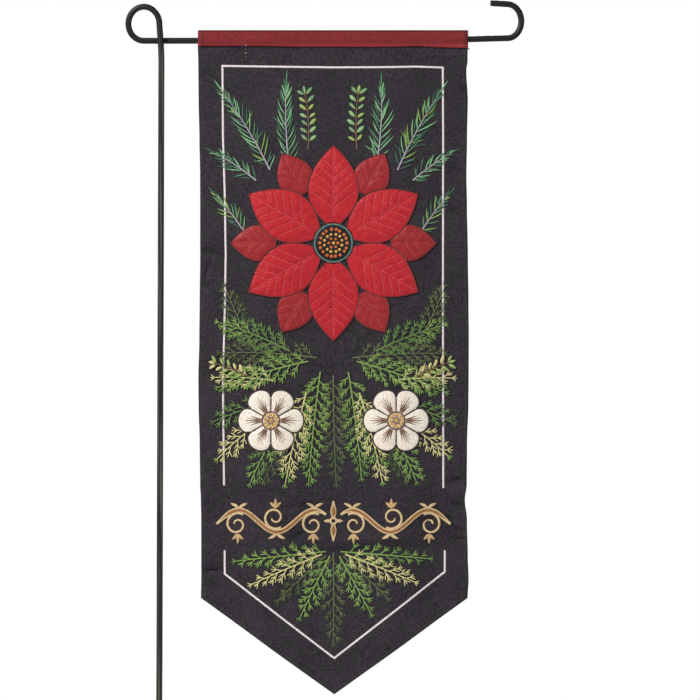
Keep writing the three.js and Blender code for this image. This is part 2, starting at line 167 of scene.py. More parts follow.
# each row: x, z, slope in degrees, half length, half width, depth
CREASES = [
    (349, 824, 20, 11, 7, 0.8), (57, 825, 0, 12, 7, 0.7), (54, 737, 12, 12, 8, 0.7),
    (344, 720, 0, 13, 7, 1.0), (345, 669, 28, 14, 7, 1.0), (62, 622, 2, 16, 7, 1.1),
    (60, 583, 10, 14, 7, 1.1), (343, 358, 16, 17, 6, 1.6), (346, 345, 4, 15, 5, -1.2),
    (344, 331, -14, 17, 6, 1.9), (347, 311, 10, 15, 7, -1.2), (345, 293, -22, 17, 7, 1.5),
    (61, 257, -8, 16, 7, 1.2), (65, 239, -43, 13, 6, 1.0),
]
PUCKERS = [
    (345, 357, 16, 10, 2.6, 1.3), (341, 359.5, 12, 10, 2.8, 2.6), (327, 343.5, -12, 7, 2.6, 0.9),
    (345, 330.5, -20, 10, 2.8, 3.2), (338, 313.5, -14, 15, 3.0, 3.4), (346, 302, -20, 9, 2.6, 2.9),
    (346, 291.5, 2, 9, 2.6, 2.9), (309, 312, 40, 10, 4.0, 3.8), (297, 354, -30, 8, 3.6, 2.2),
    (336, 318, 20, 7, 2.6, 0.9), (62, 255, 2, 14, 2.8, 3.5), (65, 238, -48, 9, 2.8, 3.2),
    (129, 347, -35, 8, 3.4, 3.0), (148, 357, -50, 8, 3.4, 3.0), (171, 329, -12, 12, 4.2, 4.0),
    (150, 327, -10, 9, 3.5, 2.7), (161, 295, 30, 12, 4.2, 3.4), (191, 275, 10, 14, 4.0, 1.6),
    (246, 291.5, 3, 62, 6.0, -2.9), (243, 278, 3, 54, 6.3, 2.7), (345, 714, -22, 12, 2.8, 3.2),
    (347, 666, -40, 10, 2.8, 3.2), (61, 620, -6, 15, 2.8, 3.4), (56, 600, 76, 14, 3.0, 2.1),
    (58, 775, 0, 12, 2.8, 1.9), (54, 825.4, 0, 6, 2.6, 3.4), (350, 821, 24, 5, 2.2, 2.6),
    (353, 808, -35, 5, 2.2, 2.7), (64, 714, 10, 7, 2.8, 0.9), (61, 585, 17, 10, 2.8, 1.4),
    (349, 455, 14, 6, 2.6, 0.9), (53, 470, -10, 7, 2.8, 0.9), (52, 392, 8, 6, 2.6, 0.9),
    (351, 545, -12, 6, 2.6, 0.7),
]


def ease(low, high, value):
    """Goes softly from 0 at low to 1 at high."""
    share = np.clip((value - low) / (high - low), 0, 1)
    return share * share * (3 - 2 * share)


def bell(offset, width):
    return np.exp(-((offset / width) ** 2))


def hang(x, z):
    """How far behind the arm's axis the middle of the cloth hangs at a place, in millimetres."""
    head = (z - TIP_HEIGHT) / (CLOTH_TOP - TIP_HEIGHT)
    depth = EDGE_CURL * np.minimum(1, np.abs(x - FLAG_MIDDLE) / HALF_WIDTH) ** 5
    for place, width, at_head, at_foot in FLUTES:
        depth = depth + (at_foot + (at_head - at_foot) * head) * bell(x - place, width)
    for height, width, swag in SWAGS:
        depth = depth + swag * bell(z - height, width)
    for across, up, slope, length, width, fold in CREASES + PUCKERS:
        turn = math.radians(slope)
        along = (x - across) * math.cos(turn) + (z - up) * math.sin(turn)
        aside = (z - up) * math.cos(turn) - (x - across) * math.sin(turn)
        depth = depth + fold * bell(along, length) * bell(aside, width)
    return depth * (1 - ease(HANG_FROM - HANG_IN, HANG_FROM, z))


def face_of_cloth(x, z):
    """Where the front of the cloth is, as a y in millimetres."""
    return ARM_BACK + hang(x, z) - CLOTH_THICK / 2


print("hang at z = 240:", rounded(hang(np.array([84.0, 201.0, 325.0]), 240.0), 2), "mm")

# %% [markdown]
# ## The drawing board
# It is far easier to draw a petal or a leaf flat than on a wavy cloth. So each sewn piece is made on a flat
# drawing board, with x across, y up the flag and z out of its face. One function then stands the board up and
# moves every point back onto the folds, and turns millimetres into metres. Another makes the object and lets
# it ride on the stand's only body.

# %% From the drawing board to the flag
def points_of(mesh):
    points = np.empty(len(mesh.vertices) * 3)
    mesh.vertices.foreach_get("co", points)
    return points.reshape(-1, 3)


def move_points(mesh, points):
    mesh.vertices.foreach_set("co", points.ravel())
    mesh.update()


def lay_on_cloth(mesh):
    """Stands a flat drawing up on the face of the hanging cloth. Its z was the height above that face."""
    x, up, height = points_of(mesh).T
    move_points(mesh, np.stack([x, face_of_cloth(x, up) - height, up], axis=1) * MM)
    return mesh


def to_mesh(bm, outwards=True):
    """Ends a bmesh: its faces look outwards, and it becomes mesh data."""
    if outwards:
        bmesh.ops.recalc_face_normals(bm, faces=bm.faces)
    mesh = bpy.data.meshes.new("drawing")
    bm.to_mesh(mesh)
    bm.free()
    return mesh


def shaped(holder):
    """A bmesh of the shape that an object's curve or modifier gives. The object itself goes."""
    mesh = bpy.data.meshes.new_from_object(holder.evaluated_get(bpy.context.evaluated_depsgraph_get()))
    bpy.data.objects.remove(holder)
    bm = bmesh.new()
    bm.from_mesh(mesh)
    bpy.data.meshes.remove(mesh)
    return bm


def finish_piece(name, mesh, material, slot, node=None):
    """Makes the smooth object of a finished mesh, which rides on the stand and may replace a CAD node."""
    mesh.name = name
    mesh.polygons.foreach_set("use_smooth", [True] * len(mesh.polygons))
    mesh.materials.clear()
    mesh.materials.append(material)
    piece = in_scene(name, mesh)
    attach(piece, "root")
    if node:
        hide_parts(node)
    return piece


def mix(a, b, share):
    return a + (b - a) * share


def between(start, end, share):
    return mix(start[0], end[0], share), mix(start[1], end[1], share)


def on_round(middle, reach, turn):
    """A point at a distance from a middle, in the direction of a turn in radians."""
    return middle[0] + reach * math.cos(turn), middle[1] + reach * math.sin(turn)


print("the face at the flag's middle is at y =", round(float(face_of_cloth(201.0, 500.0)), 2), "mm")

# %% [markdown]
# ## Finishes
# Colours are given as the photograph shows them, and turned into the linear values that a shader wants. A
# small class makes the material and joins its nodes, so that each finish below reads as a short recipe. A
# weave is two sets of threads that pass over and under each other: a checker says which set is on top, and a
# wave across the top one gives it a round back. It reads a map called weave, the flat cloth in metres, so
# the threads follow each piece.

# %% Helpers for shader nodes
def linear(*colour):
    """A colour of the photograph, 0 to 255, as linear light with full opacity."""
    shares = [value / 255 for value in colour]
    return (*(s / 12.92 if s <= 0.04045 else ((s + 0.055) / 1.055) ** 2.4 for s in shares), 1.0)


class Finish:
    """A material in the making: its nodes, its links and its shader."""

    def __init__(self, name, roughness, specular):
        self.material = bpy.data.materials.new(name)
        self.material.use_nodes = True
        self.tree = self.material.node_tree
        self.shader = self.tree.nodes["Principled BSDF"]
        self.set("Roughness", roughness)
        self.set("Specular IOR Level", specular)

    def feed(self, socket, value):
        """Links a socket to another node, or sets it to a constant."""
        if isinstance(value, bpy.types.NodeSocket):
            self.tree.links.new(value, socket)
        else:
            socket.default_value = value

    def set(self, name, value):
        self.feed(self.shader.inputs[name], value)

    def node(self, kind, feeds=None, **settings):
        """A new node with its settings. feeds gives its inputs their values, by name or number."""
        made = self.tree.nodes.new(kind)
        for key, value in settings.items():
            setattr(made, key, value)
        for key, value in (feeds or {}).items():
            self.feed(made.inputs[key], value)
        return made

    def math(self, operation, first, second=0.0):
        return self.node("ShaderNodeMath", {0: first, 1: second}, operation=operation).outputs[0]

    def times(self, first, second):
        return self.math("MULTIPLY", first, second)

    def plus(self, first, second):
        return self.math("ADD", first, second)

    def rest(self, share):
        return self.math("SUBTRACT", 1.0, share)

    def blend(self, factor, first, second, mode="MIX"):
        """Mixes two colours by a factor."""
        feeds = {0: factor, 6: first, 7: second}
        return self.node("ShaderNodeMix", feeds, data_type="RGBA", blend_type=mode).outputs[2]

    def ramp(self, factor, low, high):
        """Stretches the part of a value between low and high to the whole of 0 to 1."""
        feeds = {"Value": factor, "From Min": low, "From Max": high}
        return self.node("ShaderNodeMapRange", feeds, clamp=True).outputs["Result"]

    def place(self):
        return self.node("ShaderNodeTexCoord").outputs["Object"]

    def weave_map(self):
        return self.node("ShaderNodeUVMap", uv_map="weave").outputs["UV"]

    def split(self, vector):
        return self.node("ShaderNodeSeparateXYZ", {0: vector}).outputs

    def stretch(self, vector, scale):
        return self.node("ShaderNodeMapping", {"Vector": vector, "Scale": scale}).outputs[0]

    def noise(self, scale, detail=2.0, vector=None):
        feeds = {"Scale": scale, "Detail": detail, "Vector": vector or self.place()}
        return self.node("ShaderNodeTexNoise", feeds).outputs["Fac"]

    def relief(self, height, depth, normal=None):
        """Adds relief of a depth in metres, on top of what is there already."""
        feeds = {"Height": height, "Distance": depth, "Strength": 1.0}
        if normal is not None:
            feeds["Normal"] = normal
        bump = self.node("ShaderNodeBump", feeds).outputs["Normal"]
        self.set("Normal", bump)
        return bump


print("a dark cloth of 54, 51, 56 is", rounded(linear(54, 51, 56)[:3]))

# %% The finishes of woven cloth
NAP_GRAIN, NAP_DEPTH = 900, 0.00007
THREAD_RELIEF = 0.00006


def weave_height(finish, pitch):
    """The height of a plain weave of threads a pitch apart, in metres."""
    feeds = {0: finish.weave_map(), "Scale": 1 / pitch}
    scaled = finish.node("ShaderNodeVectorMath", feeds, operation="SCALE")
    over = finish.node("ShaderNodeTexChecker", {"Vector": scaled.outputs[0], "Scale": 1.0}).outputs["Fac"]
    across, down = [finish.math("ABSOLUTE", finish.math("SINE", finish.times(way, math.pi)))
                    for way in finish.split(scaled.outputs[0])[:2]]
    return finish.plus(finish.times(across, over), finish.times(down, finish.rest(over)))


def woven_finish(name, dark, light, pitch, roughness, specular, sheen, tinges=None, painted_light_bands=()):
    """A woven cloth whose colour wanders between two, with its threads and a slight nap as relief.

    A painted light band paints light or shade into the colour by height: it is the two heights between which
    it comes in, its colour and its strength.
    """
    finish = Finish(name, roughness, specular)
    grain = finish.ramp(finish.noise(420, 3.0), 0.32, 0.68)
    patches = finish.ramp(finish.noise(28, 3.0), 0.3, 0.7)
    both = finish.plus(finish.times(grain, 0.75), finish.times(patches, 0.25))
    colour = finish.blend(both, linear(*dark), linear(*light))
    if tinges:
        spots = finish.ramp(finish.noise(330, 3.0), 0.38, 0.62)
        colour = finish.blend(0.42, colour, finish.blend(spots, linear(*tinges[0]), linear(*tinges[1])))
    # painted shade and painted light, as bands of colour between two heights
    for start, full, shade, strength in painted_light_bands:
        reach = finish.ramp(finish.split(finish.place())[2], start, full)
        colour = finish.blend(finish.times(reach, strength), colour, linear(*shade))
    threads = weave_height(finish, pitch)
    # painted shade: the colour is darkened towards black where the threads dip into the gaps between them
    painted_gap_shade = finish.times(finish.rest(threads), 0.35)
    finish.set("Base Color", finish.blend(painted_gap_shade, colour, (0.0, 0.0, 0.0, 1.0)))
    finish.set("Sheen Weight", sheen)
    finish.set("Sheen Roughness", 0.5)
    finish.relief(finish.noise(NAP_GRAIN), NAP_DEPTH, finish.relief(threads, THREAD_RELIEF))
    return finish.material


# painted shade: a dark line along the sleeve's top fold. Painted light: a lighter band along its sewn
# lower edge, which faces down and would otherwise fall darker
SLEEVE_PAINTED_SHADE_AND_LIGHT = [(0.8744, 0.8756, (60, 16, 19), 0.75), (0.8618, 0.8586, (178, 66, 68), 0.8)]
charcoal = woven_finish("charcoal_brushed_cloth", (16, 16, 18), (73, 68, 72), 0.0006, 0.92, 0.1, 0.03,
                        tinges=((42, 47, 40), (54, 40, 60)))
crimson = woven_finish("crimson_sleeve_cloth", (100, 34, 36), (138, 50, 52), 0.00055, 0.9, 0.08, 0.02,
                       painted_light_bands=SLEEVE_PAINTED_SHADE_AND_LIGHT)
cream = woven_finish("cream_blossom_cloth", (220, 204, 184), (250, 243, 232), 0.0005, 0.8, 0.2, 0.03)
print("woven finishes:", [m.name for m in (charcoal, crimson, cream)])

# %% The finishes of padded satin
FLOATS = (2600, 260, 1)
FLOAT_RELIEF = 0.00008
QUILT_GRAIN, QUILT_RELIEF = 230, 0.0009


def satin_finish(name, dark, light, roughness=0.42):
    """A padded satin: long floats that run up the piece, a soft shine, and a quilter's small puckers."""
    finish = Finish(name, roughness, 0.2)
    floats = finish.noise(1.0, 2.0, finish.stretch(finish.weave_map(), FLOATS))
    wander = finish.ramp(finish.noise(160, 3.0), 0.3, 0.7)
    both = finish.plus(finish.times(finish.ramp(floats, 0.25, 0.75), 0.45), finish.times(wander, 0.55))
    finish.set("Base Color", finish.blend(both, linear(*dark), linear(*light)))
    finish.set("Roughness", finish.plus(finish.times(wander, 0.12), roughness - 0.06))
    finish.set("Sheen Weight", 0.08)
    finish.relief(finish.noise(QUILT_GRAIN), QUILT_RELIEF, finish.relief(floats, FLOAT_RELIEF))
    return finish.material


scarlet = satin_finish("scarlet_padded_satin", (150, 26, 34), (182, 34, 42))
deep_red = satin_finish("deep_red_padded_satin", (126, 28, 32), (152, 40, 42))
black_satin = satin_finish("black_eye_satin", (22, 20, 24), (38, 35, 40), 0.36)
print("satin finishes:", [m.name for m in (scarlet, deep_red, black_satin)])

# %% [markdown]
# ## The stand
# One steel rod makes the pole, a loop, the arm and its hook. Following the CAD's stations with a Blender
# curve is the natural way, since the rod is round all along: a smooth NURBS line through them, a round bevel,
# and a radius that shrinks at the point. The curve then becomes a mesh. The powder coat is near black with a
# fine orange-peel and a few lighter specks of wear. Lighter brownish streaks along the pole alone are partly
# scuffs and partly a painted highlight, where the glossy rod would reflect the lamps.

# %% The finish of the rod
def coated_finish():
    finish = Finish("black_powder_coat", 0.5, 0.2)
    # painted highlight, partly scuffs: lighter streaks along the pole alone; the specks are wear
    painted_highlight_streaks = finish.ramp(finish.noise(1.0, 2.0, finish.stretch(finish.place(), (760, 760, 7))), 0.5, 0.66)
    place = finish.split(finish.place())
    on_pole = finish.times(finish.ramp(place[0], 0.012, 0.007), finish.ramp(place[2], 0.862, 0.845))
    specks = finish.times(finish.ramp(finish.noise(1500), 0.6, 0.75), 0.25)
    specks_and_painted_highlight = finish.times(finish.math("MAXIMUM", finish.times(painted_highlight_streaks, on_pole), specks), 0.72)
    finish.set("Base Color", finish.blend(specks_and_painted_highlight, linear(30, 28, 27), linear(106, 98, 89)))
    finish.set("Roughness", finish.plus(finish.times(specks_and_painted_highlight, 0.2), 0.44))
    finish.relief(finish.noise(1100), 0.00012)
    return finish.material


powder_coat = coated_finish()
print("rod finish:", powder_coat.name)

# %% The bent rod
ROD_RADIUS = 3.175
COAT = 0.375
STAKE_DEPTH = 150.0
POINT_LENGTH, POINT_RADIUS, POINT_WAIST = 22.0, 0.7, 2.1
POLE_LEAN, POLE_START, POLE_FORWARD = 2.9, 0.7, -0.3
ARM_HEIGHT, ARM_RISE, ARM_KICK = 864.7, 1.9, 1.1
LOOP = (-16.8, 884.05)
LOOP_HALF_WIDTH, LOOP_HALF_HEIGHT, LOOP_STEPS = 17.9, 19.35, 54
HOOK_X, HOOK_HALF_WIDTH, HOOK_HALF_HEIGHT, HOOK_STEPS = 401.0, 16.0, 19.6, 32
HOOK_TAIL, HOOK_LIFT, HOOK_END_RADIUS = 19.6, 1.2, 2.75


def arm_height(x):
    return ARM_HEIGHT + ARM_RISE * (np.maximum(0, x) / HOOK_X) ** 1.6 + ARM_KICK * ease(352, 396, x)


def stake(x):
    """The stations of a point that goes into the ground. A station is a place and the rod's radius there."""
    return [(x, 0, -STAKE_DEPTH, POINT_RADIUS), (x, 0, -STAKE_DEPTH + POINT_LENGTH / 2, POINT_WAIST),
            (x, 0, -STAKE_DEPTH + POINT_LENGTH, ROD_RADIUS)]


def rod_stations():
    """The rod's stations from the point to the end of the hook."""
    stations = stake(0)
    for z in (-100, -50, 0, 100, 200, 300, 400, 500, 600, 700, 780, 830, 850):
        x = POLE_START * float(ease(0, 120, z)) + POLE_LEAN * max(z, 0) / ARM_HEIGHT
        stations.append((x, POLE_FORWARD * float(ease(0, 120, z)), z, ROD_RADIUS))
    for step in range(1, LOOP_STEPS + 1):
        share = step / LOOP_STEPS
        turn = share * 1.5 * math.pi
        x, z = LOOP[0] + LOOP_HALF_WIDTH * math.cos(turn), LOOP[1] + LOOP_HALF_HEIGHT * math.sin(turn)
        stations.append((x, mix(POLE_FORWARD, ARM_BACK, float(ease(0, 1, share))), z, ROD_RADIUS))
    for x in (-10, 0, 20, 60, 120, 180, 240, 300, 350, 380):
        stations.append((x, ARM_BACK, float(arm_height(x)), ROD_RADIUS))
    base = float(arm_height(HOOK_X))
    for step in range(HOOK_STEPS + 1):
        turn = (step / HOOK_STEPS - 0.5) * math.pi
        x, z = HOOK_X + HOOK_HALF_WIDTH * math.cos(turn), base + HOOK_HALF_HEIGHT * (1 + math.sin(turn))
        stations.append((x, ARM_BACK, z, ROD_RADIUS))
    top = base + 2 * HOOK_HALF_HEIGHT
    for back, radius in ((8, ROD_RADIUS), (HOOK_TAIL - 0.5, ROD_RADIUS), (HOOK_TAIL, HOOK_END_RADIUS)):
        stations.append((HOOK_X - back, ARM_BACK, top + HOOK_LIFT * back / HOOK_TAIL, radius))
    return stations


def swept_rod(stations):
    """A round rod along a smooth line through its stations, as a mesh."""
    curve = bpy.data.curves.new("rod_line", "CURVE")
    curve.dimensions = "3D"
    curve.bevel_depth = (ROD_RADIUS + COAT) * MM
    curve.bevel_resolution = 5
    curve.use_fill_caps = True
    curve.resolution_u = 3
    line = curve.splines.new("NURBS")
    line.points.add(len(stations) - 1)
    for point, (x, y, z, radius) in zip(line.points, stations):
        point.co = (x * MM, y * MM, z * MM, 1)
        point.radius = radius / ROD_RADIUS
    line.order_u = 3
    line.use_endpoint_u = True
    bm = shaped(in_scene("rod_line", curve))
    bmesh.ops.remove_doubles(bm, verts=bm.verts, dist=1e-6)
    return to_mesh(bm)


rod = finish_piece("bent_rod", swept_rod(rod_stations()), powder_coat, "black_rod", "stand_rod")
print("rod:", len(rod.data.polygons), "faces, size", rounded(rod.dimensions))

# %% [markdown]
# ## The step at the foot
# The photograph is cut off above the ground, so the foot is a guess: on such stands a shorter rod is welded
# to the pole, runs along the ground as a step, and bends down into a second point. A weld is a lumpy bead
# that runs round the joint. A cone with many segments, its points pushed about by a seeded hand, gives it.

# %% The step and its weld
PRONG_REACH, PRONG_BEND, PRONG_GAP = 92.0, 12.0, 0.4
WELD_LUMPS = 0.22


def prong_stations():
    stations = stake(PRONG_REACH) + [(PRONG_REACH, 0, z, ROD_RADIUS) for z in (-80, -30)]
    for step in range(13):
        turn = step / 12 * 0.5 * math.pi
        x = PRONG_REACH - PRONG_BEND * (1 - math.cos(turn))
        stations.append((x, 0, ROD_RADIUS - PRONG_BEND * (1 - math.sin(turn)), ROD_RADIUS))
    return stations + [(x, 0, ROD_RADIUS, ROD_RADIUS) for x in (60, 30, ROD_RADIUS + PRONG_GAP)]


def weld_bead():
    """A lumpy collar round the step where it meets the pole."""
    hand = random.Random(4)
    bm = bmesh.new()
    lying = Matrix.Translation((ROD_RADIUS + 1.2, 0, ROD_RADIUS)) @ Matrix.Rotation(math.pi / 2, 4, "Y")
    bmesh.ops.create_cone(bm, cap_ends=True, segments=28, radius1=4.9, radius2=3.3, depth=4.2, matrix=lying)
    bmesh.ops.subdivide_edges(bm, edges=bm.edges, cuts=2, use_grid_fill=True)
    for vertex in bm.verts:
        vertex.co += Vector((0.5, 1, 1)) * hand.uniform(-WELD_LUMPS, WELD_LUMPS)
    bmesh.ops.smooth_vert(bm, verts=bm.verts, factor=0.5, use_axis_x=True, use_axis_y=True, use_axis_z=True)
    bmesh.ops.scale(bm, vec=(MM, MM, MM), verts=bm.verts)
    return to_mesh(bm)


step = finish_piece("ground_step", swept_rod(prong_stations()), powder_coat, "black_rod", "step_prong")
weld = finish_piece("step_weld", weld_bead(), powder_coat, "black_rod")
print("step:", rounded(step.dimensions), "weld faces:", len(weld.data.polygons))

# %% [markdown]
# ## The dark cloth
# The flag is one pentagon of cloth with its sides and its pointed foot turned over and sewn. A grid gives the
# sheet: its rows are level for most of the height and bend into the point at the foot, so every face stays
# four-sided. Then the edges are extruded: out round the turn, back behind the sheet, and inwards as the
# turned hem, mitred at the corners. A Solidify modifier gives both layers the thickness of cloth.

# %% The outline of the flag
# each row: z, left edge, right edge
SIDES = np.array([
    (113, 49.0, 354.9), (224, 49.0, 354.9), (245, 49.3, 356.0), (272, 49.3, 355.1), (314, 49.3, 354.1),
    (337, 48.9, 351.7), (355, 48.1, 353.9), (401, 47.5, 354.2), (447, 46.2, 355.8), (475, 45.9, 356.1),
    (521, 47.0, 356.3), (567, 47.5, 355.9), (613, 48.1, 355.2), (677, 48.1, 354.1), (709, 48.0, 353.5),
    (751, 47.2, 354.2), (797, 46.2, 355.1), (831, 46.0, 353.4), (842, 45.9, 354.8), (860, 45.4, 354.9),
    (866, 45.3, 355.6), (878, 45.3, 355.6),
])
SQUARE_ROWS_END = 300.0
# each row: share of the sheet's rows, and the height that they reach
ROW_HEIGHTS = [(0.0, TIP_HEIGHT), (0.33, SQUARE_ROWS_END), (0.47, 372.0), (1.0, CLOTH_TOP)]
SIDE_CROWDING = 0.5
ON_EDGE = 0.05


def side_edges(z):
    """Where the flag's left and right edge stand at a height."""
    row = min(max(int(np.searchsorted(SIDES[:, 0], z)), 1), len(SIDES) - 1)
    low, high = SIDES[row - 1], SIDES[row]
    return between(low[1:], high[1:], float(ease(low[0], high[0], z)))


def foot_line(x):
    """The height of the flag's lower edge."""
    left, right = side_edges(CORNER_HEIGHT)
    corner = left if x < TIP_X else right
    return mix(CORNER_HEIGHT, TIP_HEIGHT, min(max((x - corner) / (TIP_X - corner), 0), 1))


def cloth_place(across, up):
    """A place on the flag from how far across and up it is, 0 to 1. Cells are finer where creases are."""
    across -= SIDE_CROWDING * math.sin(2 * math.pi * across) / (2 * math.pi)
    shares, heights = zip(*ROW_HEIGHTS)
    z = float(np.interp(up, shares, heights))
    if up < shares[1]:
        z = mix(foot_line(mix(*side_edges(CORNER_HEIGHT), across)), SQUARE_ROWS_END, up / shares[1])
    return mix(*side_edges(max(z, CORNER_HEIGHT)), across), z


def mitred_inwards(x, z):
    """The way from the flag's edge into the cloth, long enough to move both edges of a corner by 1."""
    inwards = [Vector((way, 0)) for side, way in zip(side_edges(max(z, CORNER_HEIGHT)), (1, -1))
               if abs(x - side) < ON_EDGE]
    if abs(z - foot_line(x)) < ON_EDGE:
        corners = side_edges(CORNER_HEIGHT)
        for corner, near in ((corners[0], x < TIP_X + 0.5), (corners[1], x > TIP_X - 0.5)):
            if near:
                slope = Vector((corner - TIP_X, CORNER_HEIGHT - TIP_HEIGHT)).normalized()
                inwards.append(Vector((-slope.y * math.copysign(1, slope.x), abs(slope.x))))
    first, last = inwards[0], inwards[-1]
    return (first + last) / (1 + first.dot(last))


print("lower corners at", rounded(side_edges(CORNER_HEIGHT), 1), "tip at z =", round(foot_line(TIP_X), 1))

# %% The sheet with its turned hem
CLOTH_CELLS = (120, 300)
SHEET_THICK = 0.5
HEM_WIDTH = 9.0
# each row: how far inwards the hem's next line lies, and its height above the face
HEM_LINES = [(-0.25, -0.6), (0.0, -0.95), (3.0, -0.98), (6.0, -0.98), (HEM_WIDTH, -0.95)]


def add_weave(bm, flat_place):
    """Gives a bmesh its map called weave, from the place in metres of each point on the flat cloth."""
    weave = bm.loops.layers.uv.new("weave")
    for face in bm.faces:
        for loop in face.loops:
            loop[weave].uv = flat_place(loop.vert)


def turned_place(turn=0.0):
    """The map of a flat drawing: its own x and y, turned so that v runs along it."""
    def flat_place(point):
        x, y = point.co.x * MM, point.co.y * MM
        return x * math.cos(turn) + y * math.sin(turn), y * math.cos(turn) - x * math.sin(turn)
    return flat_place


def extruded(bm, edges):
    """Extrudes edges and returns the new points and the new edges."""
    made = bmesh.ops.extrude_edge_only(bm, edges=edges)["geom"]
    points = [g for g in made if isinstance(g, bmesh.types.BMVert)]
    return points, [g for g in made if isinstance(g, bmesh.types.BMEdge)]


def neighbour_value(point, values):
    """The value of the first neighbour of an extruded point that has one."""
    others = (edge.other_vert(point) for edge in point.link_edges)
    return next(values[other] for other in others if other in values)


def thicken(piece):
    solid = piece.modifiers.new("thickness", "SOLIDIFY")
    solid.thickness = SHEET_THICK * MM
    solid.offset = 0
    solid.use_even_offset = False


def flag_sheet():
    bm = bmesh.new()
    bmesh.ops.create_grid(bm, x_segments=CLOTH_CELLS[0], y_segments=CLOTH_CELLS[1], size=0.5)
    for vertex in bm.verts:
        vertex.co = (*cloth_place(vertex.co.x + 0.5, vertex.co.y + 0.5), -SHEET_THICK / 2)
    edge = [e for e in bm.edges if e.is_boundary and min(v.co.y for v in e.verts) < CLOTH_TOP - 0.01]
    starts = {v: (v.co.xy, mitred_inwards(*v.co.xy)) for e in edge for v in e.verts}
    for inwards, height in HEM_LINES:
        points, edge = extruded(bm, edge)
        starts = {vertex: neighbour_value(vertex, starts) for vertex in points}
        for vertex, (place, way) in starts.items():
            vertex.co = (*(place + way * inwards), height)
    add_weave(bm, turned_place())
    return lay_on_cloth(to_mesh(bm, outwards=False))


cloth = finish_piece("dark_cloth", flag_sheet(), charcoal, "charcoal_cloth", "flag_cloth")
thicken(cloth)
print("cloth:", len(cloth.data.polygons), "faces, size", rounded(cloth.dimensions))

# %% [markdown]
# ## The sleeve
# The sleeve is a strip of crimson cloth folded over the arm. Seen from its end it stands pressed together
# above the rod, goes round the rod, and closes on the dark cloth from both sides. So a grid is bent along
# that section. Its two ends are extruded inwards. They were meant as narrow hems, but each draws together to
# one place, and so closes the end round the rod. The lower edge is sewn a little unevenly, and the middle
# rises with the arm towards the hook.

# %% The folded sleeve
# each row: y from the arm's axis, and z above it, on the back half of the section from the fold down
SLEEVE_SECTION = [(0.0, 11.95), (0.62, 11.7), (1.05, 10.9), (1.75, 9.2), (2.95, 6.2), (3.75, 3.0),
                  (4.05, 0.0), (4.0, -3.0), (3.6, -5.4), (3.0, -6.9), (2.4, -7.7), (1.8, -8.0)]
# each row: share of the width, and how far the sewn edge is lifted there
SEAM = [(0, 1.9), (0.24, 1.85), (0.37, 0.95), (0.5, 0.95), (0.65, 0.75), (0.73, 0.95), (0.81, 1.7),
        (0.9, 0.4), (0.95, -0.1), (1, -0.2)]
SLEEVE_CELLS = (96, 44)
SLEEVE_TOP = 877
# each row: how far inwards a line of the ends' hems lies, and how much nearer the rod
SLEEVE_HEM = [(0.3, 0.35), (2.5, 0.6), (6.0, 0.6)]

section = np.array([(-y, z) for y, z in SLEEVE_SECTION[:0:-1]] + SLEEVE_SECTION)
section_run = np.concatenate([[0], np.cumsum(np.hypot(*np.diff(section, axis=0).T))])
sleeve_left, sleeve_right = side_edges(SLEEVE_TOP)
sleeve_width = sleeve_right - sleeve_left


def seam_lift(share):
    row = next((i for i in range(1, len(SEAM)) if SEAM[i][0] >= share), len(SEAM) - 1)
    (low, first), (high, second) = SEAM[row - 1], SEAM[row]
    return mix(first, second, float(ease(low, high, share)))


def sleeve_place(share, run, inset):
    """A place on the sleeve: its share of the width, and how far along the section, inset towards the rod."""
    back = np.interp(run, section_run, section[:, 0])
    up = np.interp(run, section_run, section[:, 1])
    x = mix(sleeve_left, sleeve_right, share)
    header = float(ease(3.0, 12.5, up))
    seam = 1 - float(ease(-7.4, -3.0, up))
    rise = float(arm_height(x) - ARM_HEIGHT) * (1 - header) * (1 - seam)
    ripple = 0.16 * math.sin(x / 9.5 + 1.3 * math.sin(x / 31)) * (1 - seam) * math.copysign(1, back)
    if inset:
        back = math.copysign(max(abs(back) - inset, 0.05), back)
    z = ARM_HEIGHT + up - inset * header + rise + seam * seam_lift(share)
    return Vector((x, ARM_BACK + back + ripple, z))


def sleeve_strip():
    bm = bmesh.new()
    bmesh.ops.create_grid(bm, x_segments=SLEEVE_CELLS[0], y_segments=SLEEVE_CELLS[1], size=0.5)
    places = {v: (v.co.x + 0.5, (v.co.y + 0.5) * section_run[-1], 0.0) for v in bm.verts}
    ends = [e for e in bm.edges if e.is_boundary and abs(abs(e.verts[0].co.x + e.verts[1].co.x) - 1) < 1e-4]
    for inwards, inset in SLEEVE_HEM:
        points, ends = extruded(bm, ends)
        for vertex in points:
            # a neighbour in the new line counts too, so all points of an end's line fall on one place
            share, run, _ = neighbour_value(vertex, places)
            step_in = inwards / sleeve_width
            places[vertex] = (step_in if share < 0.5 else 1 - step_in, run, inset)
    for vertex, place in places.items():
        vertex.co = sleeve_place(*place) * MM
    add_weave(bm, lambda point: (places[point][0] * sleeve_width * MM, places[point][1] * MM))
    return to_mesh(bm, outwards=False)


sleeve = finish_piece("red_sleeve", sleeve_strip(), crimson, "crimson_cloth", "top_sleeve")
thicken(sleeve)
print("sleeve: section", round(float(section_run[-1]), 1), "mm long, size", rounded(sleeve.dimensions))

# %% [markdown]
# ## Thread
# Every line, leaf, outline and stitch on the flag is satin stitch: thread laid side by side across a line, so
# that it stands up as a soft bar. All of them are drawn the same way, as a chain of points on the drawing
# board with a width at each. A leaf is a short chain that is wide in the middle. Geometry Nodes turns each
# chain into a curve and sweeps a small circle along it, which would take far more code by hand, and then the
# bar is pressed flat. How far along its line a point is stays on the mesh, so that the finish can draw the
# single stitches across it.

# %% The finish of thread
STITCH_PITCH = 0.45


